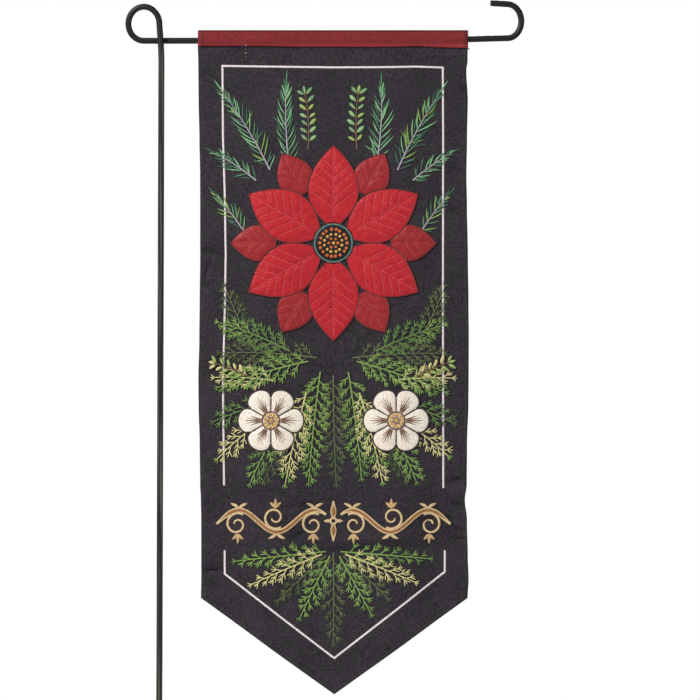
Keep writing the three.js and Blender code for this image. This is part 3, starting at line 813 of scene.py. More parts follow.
def thread_finish():
    finish = Finish("embroidery_thread", 0.5, 0.35)
    tint = finish.node("ShaderNodeAttribute", attribute_name="tint").outputs["Color"]
    along = finish.node("ShaderNodeAttribute", attribute_name="along").outputs["Fac"]
    wave = finish.math("SINE", finish.times(along, 2 * math.pi / STITCH_PITCH))
    stitch = finish.plus(finish.times(wave, 0.5), 0.5)
    bundles = finish.ramp(finish.noise(700), 0.3, 0.7)
    # random tone of thread bundles, plus painted shade: each stitch is lighter on its crown and darker where
    # it dips beside its neighbours
    shade = finish.plus(finish.times(bundles, 0.3), finish.times(stitch, 0.12))
    darker = finish.blend(1.0, tint, (0.62, 0.60, 0.58, 1.0), "MULTIPLY")
    lighter = finish.blend(1.0, tint, (1.18, 1.18, 1.16, 1.0), "MULTIPLY")
    finish.set("Base Color", finish.blend(finish.times(shade, 2.3), darker, lighter))
    finish.set("Sheen Weight", 0.05)
    finish.relief(stitch, 0.00015)
    return finish.material


thread = thread_finish()
print("thread finish:", thread.name)

# %% Drawing strands
def strand(points, width, tint, lift=0.0, closed=False):
    """One line of thread: its points on the board, its width and the height of its middle at each of them."""
    points = np.asarray(points, float)
    width, lift = (np.broadcast_to(np.asarray(value, float), len(points)) for value in (width, lift))
    return {"points": points, "width": width, "lift": lift, "tint": tint, "closed": closed}


def with_steps(corners, longest):
    """A line through its corners with further points, so that it can follow the cloth's folds."""
    points = [corners[0]]
    for start, end in zip(corners, corners[1:]):
        runs = max(1, math.ceil(math.dist(start, end) / longest))
        points += [between(start, end, k / runs) for k in range(1, runs + 1)]
    return points


def corner_widening(points, closed):
    """How much wider a bar is across each of its corners, so that its edges stay parallel."""
    before = points - np.roll(points, 1, axis=0)
    after = np.roll(before, -1, axis=0)
    if not closed:
        before[0], after[-1] = after[0], before[-1]
    lengths = np.hypot(*before.T) * np.hypot(*after.T)
    cosine = np.clip((before * after).sum(axis=1) / np.maximum(lengths, 1e-9), -0.2, 1)
    return 1 / np.sqrt((1 + cosine) / 2)


def chains(strands):
    """The strands as chains of edges, which carry their width, height, colour and length along."""
    bm = bmesh.new()
    floats = [bm.verts.layers.float.new(key) for key in ("width", "lift", "along", "widening")]
    tints = bm.verts.layers.float_color.new("tint")
    for line in strands:
        widening = corner_widening(line["points"], line["closed"])
        run = 0.0
        made = []
        for i, (x, y) in enumerate(line["points"]):
            vertex = bm.verts.new((x, y, 0))
            if made:
                run += (vertex.co - made[-1].co).length
                bm.edges.new((made[-1], vertex))
            values = (line["width"][i] * widening[i], line["lift"][i], run, widening[i])
            for layer, value in zip(floats, values):
                vertex[layer] = value
            vertex[tints] = line["tint"]
            made.append(vertex)
        if line["closed"]:
            bm.edges.new((made[-1], made[0]))
    return to_mesh(bm, outwards=False)


corner = corner_widening(np.array([(0.0, 0.0), (1.0, 0.0), (1.0, 1.0)]), False)[1]
print("a bar is", round(float(corner), 2), "times as wide across a square corner")

# %% Sewing strands
# thread dives no deeper into the cloth than this, so that none comes out behind it
THREAD_DEPTH = -0.1


def sweep_group(sides):
    """Geometry Nodes that turn chains of edges into bars of a round section."""
    group = bpy.data.node_groups.new(f"sweep_{sides}", "GeometryNodeTree")
    for way in ("INPUT", "OUTPUT"):
        group.interface.new_socket("Geometry", in_out=way, socket_type="NodeSocketGeometry")
    kinds = ("NodeGroupInput", "GeometryNodeMeshToCurve", "GeometryNodeSetCurveNormal",
             "GeometryNodeSetCurveRadius", "GeometryNodeCurveToMesh", "NodeGroupOutput",
             "GeometryNodeInputNamedAttribute", "ShaderNodeMath", "GeometryNodeCurvePrimitiveCircle")
    nodes = [group.nodes.new(kind) for kind in kinds]
    for first, second in zip(nodes[:5], nodes[1:6]):
        group.links.new(first.outputs[0], second.inputs[0])
    normal, radius, sweep, _, width, half, ring = nodes[2:]
    normal.mode = "Z_UP"
    width.inputs["Name"].default_value = "width"
    half.operation = "MULTIPLY"
    half.inputs[1].default_value = 0.5
    ring.inputs["Resolution"].default_value = sides
    ring.inputs["Radius"].default_value = 1.0
    sweep.inputs["Fill Caps"].default_value = True
    group.links.new(width.outputs[0], half.inputs[0])
    group.links.new(half.outputs[0], radius.inputs["Radius"])
    if "Scale" in sweep.inputs:
        group.links.new(half.outputs[0], sweep.inputs["Scale"])
    group.links.new(ring.outputs["Curve"], sweep.inputs["Profile Curve"])
    return group


def sew(name, strands, sides=6, pressed=0.5, slot="thread", place=lay_on_cloth, node=None):
    """Sews strands on the flag as one piece. pressed is their thickness as a share of their width."""
    drawing = in_scene(name, chains(strands))
    group = bpy.data.node_groups.get(f"sweep_{sides}") or sweep_group(sides)
    drawing.modifiers.new("sweep", "NODES").node_group = group
    bm = shaped(drawing)
    lift, widening = bm.verts.layers.float["lift"], bm.verts.layers.float["widening"]
    for vertex in bm.verts:
        vertex.co.z = max(vertex[lift] + vertex.co.z * pressed / vertex[widening], THREAD_DEPTH)
    return finish_piece(name, place(to_mesh(bm)), thread, slot, node)


print("strands are swept with a stitch every", STITCH_PITCH, "mm")

# %% [markdown]
# ## The white border line
# A white line runs round the picture in two lengths, down the sides and over the top, and round the point.
# It was sewn freehand, so its sides wander by a millimetre or two. Its corners are crisp, which is why a bar
# gets wider across a corner.

# %% The border line
LINE_WIDTH = 2.3
PINKISH_WHITE = linear(240, 227, 232)
BORDER_LINES = {
    "upper": [(75.2, 353.3), (73.8, 475), (76.2, 562), (77.1, 620), (76.0, 690), (73.9, 755), (73.4, 835.7),
              (120, 835.0), (203, 834.0), (262, 834.3), (296, 834.9), (326.8, 833.9), (327.3, 755),
              (327.1, 690), (327.0, 562), (327.2, 475), (327.4, 350.4)],
    "lower": [(75.9, 278.5), (75.9, 251.5), (201.9, 154.9), (329.1, 253.8), (329.1, 278.5)],
}

for part, corners in BORDER_LINES.items():
    line = strand(with_steps(corners, 4.0), LINE_WIDTH, PINKISH_WHITE, 0.12)
    bar = sew(f"white_line_{part}", [line], 10, 0.32, "white_line", node=f"border_{part}")
    print(bar.name, len(bar.data.polygons), "faces")

# %% [markdown]
# ## The flower's petals
# The flower is appliqué: twelve petals of padded satin, six long ones and six short ones that show between
# them, each sewn down round its rim. On the real thing wadding lifts the middle, a sewn line down the middle
# draws it in, and side veins quilt it. The petal has the CAD's outline, from the same formula. A fine grid is
# bent to it, lifted by how far each point is from the rim, and let down again in the sewn lines.

# %% The outline of a petal
FLOWER = (201.0, 632.0)
PETALS = 6
PETAL_GAP, PETAL_ROOT, PETAL_END = 0.9, 0.28, 0.7
INNER = {"from": 24.0, "to": 112.0, "widest": 0.46, "half": 32.0}
OUTER = {"from": 66.0, "to": 118.0, "widest": 0.45, "half": 21.0}


def along_petal(shape, r):
    return min(max((r - shape["from"]) / (shape["to"] - shape["from"]), 0), 1)


def petal_half(shape, r):
    """Half a petal's width at a distance from the flower's middle, before it gives way to its neighbours."""
    share = along_petal(shape, r)
    if share < shape["widest"]:
        return shape["half"] * mix(PETAL_ROOT, 1, math.sin(math.pi / 2 * share / shape["widest"]))
    return shape["half"] * math.cos(math.pi / 2 * (share - shape["widest"]) / (1 - shape["widest"]))


def petal_angle(shape, r):
    spacing = math.pi / PETALS
    inner = min(math.atan(petal_half(INNER, r) / r), spacing - PETAL_GAP / 2 / r)
    outer = min(math.atan(petal_half(OUTER, r) / r), spacing - inner - PETAL_GAP / r)
    return max(inner if shape is INNER else outer, PETAL_END / r)


def petal_heading(shape, index):
    return (index + (0.5 if shape is INNER else 0)) / PETALS * 2 * math.pi


print("inner petal is", round(2 * 70 * math.tan(petal_angle(INNER, 70)), 1), "mm wide at r = 70")

# %% The height of a petal
RIM_HEIGHT = 0.9
PETAL_CROWN = 2.1
MIDLINE_DEPTH, MIDLINE_WIDTH = 1.1, 2.4
VEIN_DEPTH, VEIN_WIDTH, VEIN_SLOPE = 0.75, 1.7, 0.95
VEIN_FIRST, VEIN_PITCH, VEIN_LAST = 15.0, 11.5, 20.0


def vein_roots(shape):
    """Where the side veins leave the mid-line, measured from the flower's middle."""
    return np.arange(shape["from"] + VEIN_FIRST, shape["to"] - VEIN_LAST, VEIN_PITCH).tolist()


def petal_height(shape, r, off):
    """How high a petal stands above the cloth. off goes from -1 at one edge to 1 at the other."""
    pillow = math.sqrt(max(math.sin(math.pi * along_petal(shape, r)), 0) * (1 - off * off))
    aside = abs(off) * petal_angle(shape, r) * r
    height = RIM_HEIGHT + PETAL_CROWN * pillow
    height -= MIDLINE_DEPTH * pillow * bell(aside, MIDLINE_WIDTH)
    for root in vein_roots(shape):
        distance = (r - root - VEIN_SLOPE * aside) / math.hypot(1, VEIN_SLOPE)
        height -= VEIN_DEPTH * pillow * bell(distance, VEIN_WIDTH)
    return height


print("veins of a long petal start at", rounded(vein_roots(INNER), 0), "mm")

# %% Making the petals
# each row: kind, shape, cells, cloth, slot
PETAL_KINDS = [
    ("inner", INNER, (30, 70), scarlet, "scarlet_cloth"),
    ("outer", OUTER, (22, 42), deep_red, "deep_red_cloth"),
]
UNDERSIDE = -0.1


def finished_pad(bm, turn=0.0):
    """Ends a pad: an underside that lies on the cloth, its map, and its place on the folds."""
    for part in bmesh.ops.extrude_face_region(bm, geom=list(bm.faces))["geom"]:
        if isinstance(part, bmesh.types.BMVert):
            part.co.z = UNDERSIDE
    add_weave(bm, turned_place(turn))
    return lay_on_cloth(to_mesh(bm))


def petal(shape, index, cells):
    heading = petal_heading(shape, index)
    bm = bmesh.new()
    bmesh.ops.create_grid(bm, x_segments=cells[0], y_segments=cells[1], size=1.0)
    for vertex in bm.verts:
        off = math.sin(vertex.co.x * math.pi / 2)
        up = (math.sin(vertex.co.y * math.pi / 2) * 0.6 + vertex.co.y * 0.4 + 1) / 2
        r = mix(shape["from"], shape["to"], up)
        vertex.co = (*on_round(FLOWER, r, heading - off * petal_angle(shape, r)), petal_height(shape, r, off))
    return finished_pad(bm, heading - math.pi / 2)


petal_faces = 0
for kind, shape, cells, satin, slot in PETAL_KINDS:
    for index in range(PETALS):
        number = f"{kind}_{index + 1}"
        pad = finish_piece(f"padded_{number}", petal(shape, index, cells), satin, slot, f"petal_{number}")
        petal_faces += len(pad.data.polygons)
print("petals:", 2 * PETALS, "with", petal_faces, "faces")

# %% [markdown]
# ## Sewing on the petals
# A narrow satin edge holds down each petal, in a darker red than its cloth, and the veins are sewn in a
# lighter one, one short backstitch after another. Both are strands, with their height taken from the petal
# that they lie on. Each strand starts and ends a little lower, as thread does where it dives into the cloth.

# %% The petals' edges and veins
# each row: shape, the edge's colour, the veins' colour
PETAL_THREADS = [
    (INNER, linear(112, 24, 30), linear(212, 84, 88)),
    (OUTER, linear(96, 24, 27), linear(188, 74, 72)),
]
EDGE_WIDTH, VEIN_THREAD = 1.9, 1.15
EDGE_STEPS = 36
# a backstitch: how far along it is, how far it dives and how wide it is, as shares of its length and width
STITCH_SHARES = np.array([0, 0.18, 0.5, 0.82, 1])
STITCH_DIVE = np.array([-0.35, 0.05, 0.12, 0.05, -0.35])
STITCH_TAPER = np.array([0.45, 0.9, 1.0, 0.9, 0.45])


def backstitches(points, lifts, width, tint, length=3.0, gap=0.35):
    """Short stitches end to end along a line, each of which dives at its ends."""
    points = np.asarray(points, float)
    run = np.concatenate([[0], np.cumsum(np.hypot(*np.diff(points, axis=0).T))])
    count = max(1, round(run[-1] / (length + gap)))
    pitch = run[-1] / count
    made = []
    for i in range(count):
        at = i * pitch + gap / 2 + (pitch - gap) * STITCH_SHARES
        line = np.stack([np.interp(at, run, points[:, 0]), np.interp(at, run, points[:, 1])], axis=1)
        made.append(strand(line, width * STITCH_TAPER, tint, np.interp(at, run, lifts) + width * STITCH_DIVE))
    return made


def petal_edge(shape, index, tint):
    heading = petal_heading(shape, index)
    one_side = [mix(shape["from"], shape["to"], math.sin(math.pi / 2 * k / EDGE_STEPS))
                for k in range(EDGE_STEPS + 1)]
    points = [on_round(FLOWER, r, heading - side * petal_angle(shape, r))
              for side, way in ((-1, one_side), (1, one_side[::-1])) for r in way]
    return strand(points, EDGE_WIDTH, tint, RIM_HEIGHT, closed=True)


def side_vein(shape, heading, root, side):
    """The points of a side vein and their heights, up to 3 mm from the petal's rim."""
    made = []
    for k in range(30):
        aside = 1.2 + k
        r = root + VEIN_SLOPE * aside
        edge = petal_angle(shape, min(r, shape["to"])) * r
        if aside > edge - 3.0 or r > shape["to"] - 3:
            break
        made.append((on_round(FLOWER, r, heading - side * aside / r), petal_height(shape, r, aside / edge)))
    return made


def petal_veins(shape, index, tint):
    heading = petal_heading(shape, index)
    middle = np.linspace(shape["from"] + 7, shape["to"] - 5, 40)
    lines = [[(on_round(FLOWER, r, heading), petal_height(shape, r, 0)) for r in middle]]
    lines += [side_vein(shape, heading, root, side) for root in vein_roots(shape) for side in (-1, 1)]
    return [s for line in lines if len(line) > 3 for s in backstitches(*zip(*line), VEIN_THREAD, tint)]


edges, veins = [], []
for shape, edge_tint, vein_tint in PETAL_THREADS:
    for index in range(PETALS):
        edges.append(petal_edge(shape, index, edge_tint))
        veins += petal_veins(shape, index, vein_tint)
sew("petal_edges", edges, 8)
sew("petal_veins", veins, 6, 0.8)
print("edges:", len(edges), "vein stitches:", len(veins))

# %% [markdown]
# ## The flower's eye and the blossoms
# These are round appliqués, so they are spun: a short profile from the middle to the rim, turned once round.
# Then each point is moved in towards the middle where its outline has a notch, and lifted by the padding.
# The eye is black satin with a blue-green ring and a wreath of orange and yellow French knots. The blossoms
# are pale cloth with brown stitching fanned over each lobe.

# %% The round pads
EYE = {"radius": 21.5, "crown": 1.9, "lobes": 0, "notch": 0}
BLOSSOM = {"radius": 38.0, "crown": 1.5, "lobes": 6, "notch": 0.3}
BLOSSOM_Z, BLOSSOM_SPREAD = 428.0, 72.0
GROOVE_DEPTH, GROOVE_WIDTH = 0.9, 2.6
PAD_MINIMUM = 0.55
RING_SHARES = [0, 0.1, 0.2, 0.3, 0.4, 0.5, 0.6, 0.7, 0.78, 0.85, 0.91, 0.96, 1.0]


def lobed_reach(pad, share, turn):
    """How far a point of a lobed round is from its middle."""
    notch = 1 - math.sqrt(abs(math.cos(pad["lobes"] * turn / 2)))
    return share * pad["radius"] * (1 - pad["notch"] * share * notch)


def round_height(pad, share, turn):
    """How high a round pad stands. Its lobes are parted by sewn grooves."""
    height = RIM_HEIGHT + pad["crown"] * math.sqrt(max(1 - share ** 2.4, 0))
    if pad["lobes"]:
        lobe = 2 * math.pi / pad["lobes"]
        groove = abs((turn / lobe) % 1 - 0.5) * lobe * share * pad["radius"]
        height -= GROOVE_DEPTH * min(share * 2.2, 1) * bell(groove, GROOVE_WIDTH)
    return max(height, PAD_MINIMUM)


def round_pad(middle, pad):
    bm = bmesh.new()
    profile = [bm.verts.new((share, 0, 0)) for share in RING_SHARES]
    line = [bm.edges.new(pair) for pair in zip(profile, profile[1:])]
    bmesh.ops.spin(bm, geom=profile + line, cent=(0, 0, 0), axis=(0, 0, 1), angle=2 * math.pi, steps=96,
                   use_merge=True, use_duplicate=False)
    bmesh.ops.remove_doubles(bm, verts=bm.verts, dist=1e-5)
    for vertex in bm.verts:
        share, turn = math.hypot(vertex.co.x, vertex.co.y), math.atan2(vertex.co.y, vertex.co.x)
        vertex.co = (*on_round(middle, lobed_reach(pad, share, turn), turn), round_height(pad, share, turn))
    return finished_pad(bm)


eye = finish_piece("padded_eye", round_pad(FLOWER, EYE), black_satin, "black_cloth", "flower_eye")
blossom_middles = {"left": (FLAG_MIDDLE - BLOSSOM_SPREAD, BLOSSOM_Z),
                   "right": (FLAG_MIDDLE + BLOSSOM_SPREAD, BLOSSOM_Z)}
for side, middle in blossom_middles.items():
    mesh = round_pad(middle, BLOSSOM)
    blossom = finish_piece(f"padded_blossom_{side}", mesh, cream, "cream_cloth", f"blossom_{side}")
print("eye:", len(eye.data.polygons), "faces; blossom:", len(mesh.polygons), "faces")

# %% Stitching on the round pads
TEAL = linear(86, 130, 120)
ORANGE = linear(214, 112, 48)
YELLOW = linear(226, 176, 84)
BARK = linear(104, 74, 58)
LIGHT_BARK = linear(158, 122, 92)
DARK_OUTLINE = linear(58, 40, 44)
# each row of the eye's wreath: knots, distance from the middle, colour, size
EYE_KNOTS = [(18, 15.6, ORANGE, 3.6), (12, 10.4, YELLOW, 3.2), (6, 5.4, ORANGE, 3.2), (1, 0, YELLOW, 3.6)]
# each row of a blossom's middle: knots, distance from the middle, colour
BLOSSOM_KNOTS = [(11, 7.0, YELLOW), (6, 3.6, LIGHT_BARK), (1, 0.0, YELLOW)]
# each row: a thread of the fan over a lobe, and how far out it reaches
FAN = [(-2, 0.62), (-1, 0.74), (0, 0.8), (1, 0.74), (2, 0.62)]
FAN_WIDTHS = np.array([1.5, 1.4, 1.3, 1.2, 1.1, 0.95, 0.8, 0.6, 0.35])


def ring(middle, radius, width, tint, lift, steps):
    """A closed line round a middle."""
    points = [on_round(middle, radius, 2 * math.pi * k / steps) for k in range(steps)]
    return strand(points, width, tint, lift, closed=True)


def french_knot(middle, lift, size, tint):
    """Thread wound into a small ring round the needle and drawn tight."""
    return ring(middle, size * 0.28, size * 0.5, tint, lift, 8)


def outwards(middle, first, last, turns, width, tint, lift):
    """A line that runs outwards over a blossom, by way of nine turns."""
    shares = [mix(first, last, k / 8) for k in range(9)]
    points = [on_round(middle, share * BLOSSOM["radius"], turn) for share, turn in zip(shares, turns)]
    lifts = [round_height(BLOSSOM, share, turn) + lift for share, turn in zip(shares, turns)]
    return strand(points, width, tint, lifts)


def blossom_lines(middle, turned):
    """The outline, the fans, the grooves and the middle of one blossom."""
    turns = [2 * math.pi * k / 120 for k in range(120)]
    outline = [on_round(middle, lobed_reach(BLOSSOM, 1, turn), turn) for turn in turns]
    made = [strand(outline, 2.3, DARK_OUTLINE, RIM_HEIGHT, closed=True)]
    for lobe in range(BLOSSOM["lobes"]):
        heading = 2 * math.pi * lobe / BLOSSOM["lobes"]
        for fan, reach in FAN:
            turns = [heading + fan * 0.115 * (0.55 + 0.45 * k / 8) for k in range(9)]
            tint = BARK if fan % 2 == 0 else LIGHT_BARK
            made.append(outwards(middle, 0.3, reach, turns, FAN_WIDTHS, tint, 0.12))
        groove = [heading + math.pi / BLOSSOM["lobes"]] * 9
        made.append(outwards(middle, 0.28, 0.66, groove, np.linspace(1.3, 1.9, 9), DARK_OUTLINE, 0.1))
    top = RIM_HEIGHT + BLOSSOM["crown"]
    made.append(ring(middle, 10.0, 1.7, BARK, top + 0.1, 40))
    for count, reach, tint in BLOSSOM_KNOTS:
        for k in range(count):
            place = on_round(middle, reach, 2 * math.pi * k / count + turned)
            made.append(french_knot(place, top + 0.35, 3.2, tint))
    return made


hand = random.Random(11)
eye_lines = [ring(FLOWER, EYE["radius"], 2.2, TEAL, RIM_HEIGHT + 0.1, 72)]
for count, reach, tint, size in EYE_KNOTS:
    for k in range(count):
        turn = 2 * math.pi * (k + 0.5 * (count == 12)) / count + hand.uniform(-0.05, 0.05)
        place = on_round(FLOWER, reach + hand.uniform(-0.4, 0.4), turn)
        lift = round_height(EYE, reach / EYE["radius"], turn) + 0.3
        eye_lines.append(french_knot(place, lift, size * hand.uniform(0.92, 1.06), tint))
sew("eye_stitching", eye_lines, 7, 0.75)
blossom_stitching = blossom_lines(blossom_middles["left"], 0.0) + blossom_lines(blossom_middles["right"], 0.3)
sew("blossom_stitching", blossom_stitching, 6, 0.65)
print("eye strands:", len(eye_lines), "blossom strands:", len(blossom_stitching))

# %% [markdown]
# ## Leaves and stems
# The greenery is thread alone. Three plants are enough for a rich picture: a fern, whose side branches carry
# tiny leaflets of their own, a willow twig with long slender leaves, and a twig of round leaves. Each is a
# stem along an arc with leaves set on it, so one function gives arcs and another gives a leaf, and a seeded
# hand varies every length and angle a little, as a person or a sewing machine's program would.

# %% Arcs and leaves
FRESH_GREEN = linear(136, 172, 88)
MID_GREEN = linear(106, 142, 74)
OLIVE = linear(100, 112, 72)
DARK_GREEN = linear(80, 96, 60)
PALE_YELLOW = linear(222, 214, 150)
MINT = linear(128, 184, 132)
SEA_GREEN = linear(90, 140, 102)
DEEP_SEA_GREEN = linear(66, 106, 84)
LAVENDER = linear(176, 164, 180)
TWIG_BROWN = linear(120, 92, 72)
PRESSED = 0.55
# each row: the width of a leaf from its foot to its tip, as a share of its greatest width
LEAF_SHAPES = {
    "slender": (0.22, 0.8, 1.0, 0.72, 0.12),
    "round": (0.3, 0.92, 1.0, 0.86, 0.25),
    "blunt": (0.75, 0.95, 1.0, 0.9, 0.5),
}


def arc(start, heading, length, bend, steps):
    """Points along an arc, and its heading at each. Headings and the bend are in degrees."""
    points, headings = [start], [heading]
    for k in range(steps):
        points.append(on_round(points[-1], length / steps, math.radians(heading + bend * (k + 0.5) / steps)))
        headings.append(heading + bend * (k + 1) / steps)
    return points, headings


def leaf(start, heading, length, width, tint, lift, shape="slender", bend=0.0):
    points, _ = arc(start, heading, length, bend, 4)
    return strand(points, np.array(LEAF_SHAPES[shape]) * width, tint, lift)


def stem(points, thick, thin, tint, lift):
    points = with_steps(points, 3.0)
    return strand(points, np.linspace(thick, thin, len(points)), tint, lift)


print("leaf shapes:", list(LEAF_SHAPES))

# %% The fern
TWIG_WIDTH = 1.35
LEAFLET_PITCH, BRANCH_PITCH = 5.6, 11.0


def fern(hand, start, heading, length, bend, reach, tint, tip_tint, lift):
    """A frond: side branches that shorten to the tip, with leaflets on both sides and cloth between them."""
    steps = max(5, round(length / BRANCH_PITCH))
    points, headings = arc(start, heading, length, bend, steps)
    made = [stem(points, 1.9, 1.2, tint, lift)]
    for k in range(1, steps):
        share = k / steps
        size = reach * (math.sin(math.pi * (0.24 + 0.66 * share)) * 1.02 + 0.05)
        own = tip_tint if hand.random() < 0.75 * share - 0.2 else tint
        for side in (-1, 1):
            root = between(points[k - 1], points[k], 0.75 + side * 0.25)
            run = size * hand.uniform(0.82, 1.12)
            branch_steps = max(2, round(run / LEAFLET_PITCH))
            out = headings[k] + side * (56 - 20 * share + hand.uniform(-6, 6))
            branch, turns = arc(root, out, run, -side * hand.uniform(6, 20), branch_steps)
            made.append(stem(branch, TWIG_WIDTH, TWIG_WIDTH * 0.85, own, lift + 0.12))
            for j in range(1, branch_steps):
                for twig in (-1, 1):
                    leaflet = (7.4 - 2.0 * j / branch_steps) * hand.uniform(0.8, 1.15)
                    spread = twig * (37 + hand.uniform(-7, 7))
                    made.append(leaf(branch[j], turns[j] + spread, leaflet, TWIG_WIDTH * 0.95, own,
                                     lift + 0.2, "blunt", -twig * 14))
    for spread in (-38, 0, 38):
        made.append(leaf(points[-1], headings[-1] + spread, 5.2, TWIG_WIDTH, tip_tint, lift + 0.2, "blunt"))
    return made


print("a fern's twigs are", TWIG_WIDTH, "mm wide")

# %% The willow and the round-leaved twig
NODE_PITCH, STALK_PITCH, STALK = 6.8, 8.4, 2.4
# how high a vein runs over a round leaf, as a share of its crown
VEIN_RISE = np.array([0.4, 1.0, 1.12, 1.0, 0.7])


def willow(hand, start, heading, length, bend, reach, tints, stem_tint, lift):
    """A twig with long slender leaves, two and two, that are never quite alike."""
    steps = max(6, round(length / NODE_PITCH))
    points, headings = arc(start, heading, length, bend, steps)
    made = [stem(points, 2.0, 1.0, stem_tint, lift)]
    for k in range(1, steps + 1):
        share = k / steps
        size = reach * math.sin(math.pi * (0.24 + 0.62 * share))
        for side in (-1, 1):
            root = between(points[k - 1], points[k], 0.5 + 0.3 * side + hand.uniform(-0.15, 0.15))
            out = headings[k] + side * (50 - 26 * share + hand.uniform(-9, 9))
            run = size * hand.uniform(0.78, 1.15)
            made.append(leaf(root, out, run, 1.75 * hand.uniform(0.85, 1.2), hand.choice(tints), lift + 0.25,
                             bend=-side * hand.uniform(4, 30)))
            if hand.random() < 0.4:
                made.append(leaf(root, out + hand.uniform(-22, 22), run * 0.8, 1.3, hand.choice(tints),
                                 lift + 0.1))
    made.append(leaf(points[-1], headings[-1], reach * 0.75, 1.8, tints[0], lift + 0.25))
    return made


def veined_leaf(start, heading, length, tint, lift):
    """A round leaf with a fine line of lighter thread along its crown."""
    width = length * 0.52
    points, _ = arc(start, heading, length * 0.8, 0, 4)
    rise = lift + width * 0.5 * PRESSED * VEIN_RISE
    return [leaf(start, heading, length, width, tint, lift, "round"), strand(points, 0.75, PALE_YELLOW, rise)]


def round_twig(hand, start, heading, length, bend, size, tints, stem_tint, lift):
    """A twig with round leaves on short stalks."""
    steps = max(4, round(length / STALK_PITCH))
    points, headings = arc(start, heading, length, bend, steps)
    made = [stem(points, 1.7, 1.1, stem_tint, lift)]
    for k in range(1, steps + 1):
        for side in (-1, 0, 1) if k == steps else (-1, 1):
            out = headings[k] + side * (50 + hand.uniform(-8, 8))
            stalk, _ = arc(points[k], out, STALK, 0, 1)
            made.append(stem(stalk, 1.1, 1.1, stem_tint, lift + 0.1))
            made += veined_leaf(stalk[-1], out, size * hand.uniform(0.85, 1.12), hand.choice(tints),
                                lift + 0.25)
    return made


PLANT_KINDS = {"fern": fern, "willow": willow, "round_twig": round_twig}
print("plants:", list(PLANT_KINDS))

# %% [markdown]
# ## Where the plants grow
# The picture is the same on both sides of the middle, but never exactly: each plant stands in a short table,
# and the right half repeats the left one mirrored, with its own chance. Twigs reach from behind the flower
# into the upper corners, ferns spread round the blossoms and over the white line, and a fan of ferns fills
# the point. Plants that cross others lie a little higher, so that one passes over the next.

# %% The plants of each half
# each row: kind, x, z, heading, length, bend, reach, first tint or tints, second tint, height
CORNER_PLANTS = [
    ("willow", 150, 722, 97, 92, -10, 24, (SEA_GREEN, MINT, DEEP_SEA_GREEN, MINT), LAVENDER, 0.2),
    ("willow", 128, 716, 116, 104, 10, 25, (MINT, SEA_GREEN, FRESH_GREEN, DEEP_SEA_GREEN), LAVENDER, 0.45),
    ("willow", 112, 704, 140, 56, 12, 20, (DEEP_SEA_GREEN, SEA_GREEN, MINT), LAVENDER, 0.2),
    ("willow", 98, 646, 124, 52, 8, 19, (DEEP_SEA_GREEN, SEA_GREEN, FRESH_GREEN), LAVENDER, 0.2),
    ("round_twig", 172, 740, 86, 62, 14, 9.0, (MINT, FRESH_GREEN, SEA_GREEN), TWIG_BROWN, 0.3),
]
BLOSSOM_PLANTS = [
    ("fern", 112, 506, 120, 84, -10, 20, OLIVE, DARK_GREEN, 0.35),
    ("fern", 150, 508, 152, 88, 12, 21, MID_GREEN, FRESH_GREEN, 0.75),
    ("fern", 182, 500, 172, 112, 10, 22, OLIVE, DARK_GREEN, 0.45),
    ("fern", 172, 496, 192, 108, 8, 22, FRESH_GREEN, MID_GREEN, 0.95),
    ("fern", 132, 474, 172, 68, 10, 19, PALE_YELLOW, PALE_YELLOW, 0.7),
    ("fern", 116, 446, 196, 56, 8, 18, MID_GREEN, OLIVE, 0.85),
    ("fern", 116, 426, 216, 64, 10, 18, PALE_YELLOW, FRESH_GREEN, 0.65),
    ("fern", 136, 416, 238, 68, 10, 19, FRESH_GREEN, MID_GREEN, 0.4),
    ("fern", 164, 446, 240, 98, 8, 21, DARK_GREEN, OLIVE, 0.2),
    ("fern", 170, 460, 254, 108, 6, 21, PALE_YELLOW, FRESH_GREEN, 0.95),
    ("fern", 186, 484, 262, 128, 4, 22, FRESH_GREEN, MID_GREEN, 0.6),
    ("round_twig", 104, 478, 152, 40, 12, 8.6, (PALE_YELLOW, FRESH_GREEN), TWIG_BROWN, 1.35),
]
POINT_PLANTS = [
    ("fern", 192, 277, 185, 104, 2, 15, FRESH_GREEN, MID_GREEN, 0.5),
    ("fern", 188, 274, 201, 88, 4, 16, PALE_YELLOW, PALE_YELLOW, 0.75),
    ("fern", 192, 272, 221, 74, 4, 17, OLIVE, DARK_GREEN, 0.2),
    ("fern", 197, 272, 243, 78, 2, 17, FRESH_GREEN, MID_GREEN, 0.5),
]
# plants that stand in the middle, alone
MIDDLE_FERN = ("fern", 201, 480, 270, 124, 3, 20, OLIVE, DARK_GREEN, 0.2)
POINT_FERN = ("fern", 201, 276, 271, 104, -2, 18, OLIVE, DARK_GREEN, 0.25)


def plant(hand, row, mirrored=False):
    """The strands of one row of the tables, on the left as it stands there or mirrored to the right."""
    kind, x, z, heading, length, bend, reach, first, second, lift = row
    if mirrored:
        x = 2 * FLAG_MIDDLE - x + hand.uniform(-3, 3)
        heading, bend = 180 - heading + hand.uniform(-4, 4), -bend
        length *= hand.uniform(0.93, 1.02)
    return PLANT_KINDS[kind](hand, (x, z), heading, length, bend, reach, first, second, lift)


def sew_plants(name, rows, alone, seed, sides):
    hand = random.Random(seed)
    strands = [s for row in alone for s in plant(hand, row)]
    for row in rows:
        strands += plant(hand, row)
        strands += plant(hand, row, mirrored=True)
    piece = sew(name, strands, sides, PRESSED)
    print(name, "strands:", len(strands), "faces:", len(piece.data.polygons))


sew_plants("corner_twigs", CORNER_PLANTS, [], 5, 6)
sew_plants("blossom_ferns", BLOSSOM_PLANTS, [MIDDLE_FERN], 6, 5)
sew_plants("point_ferns", POINT_PLANTS, [POINT_FERN], 8, 5)

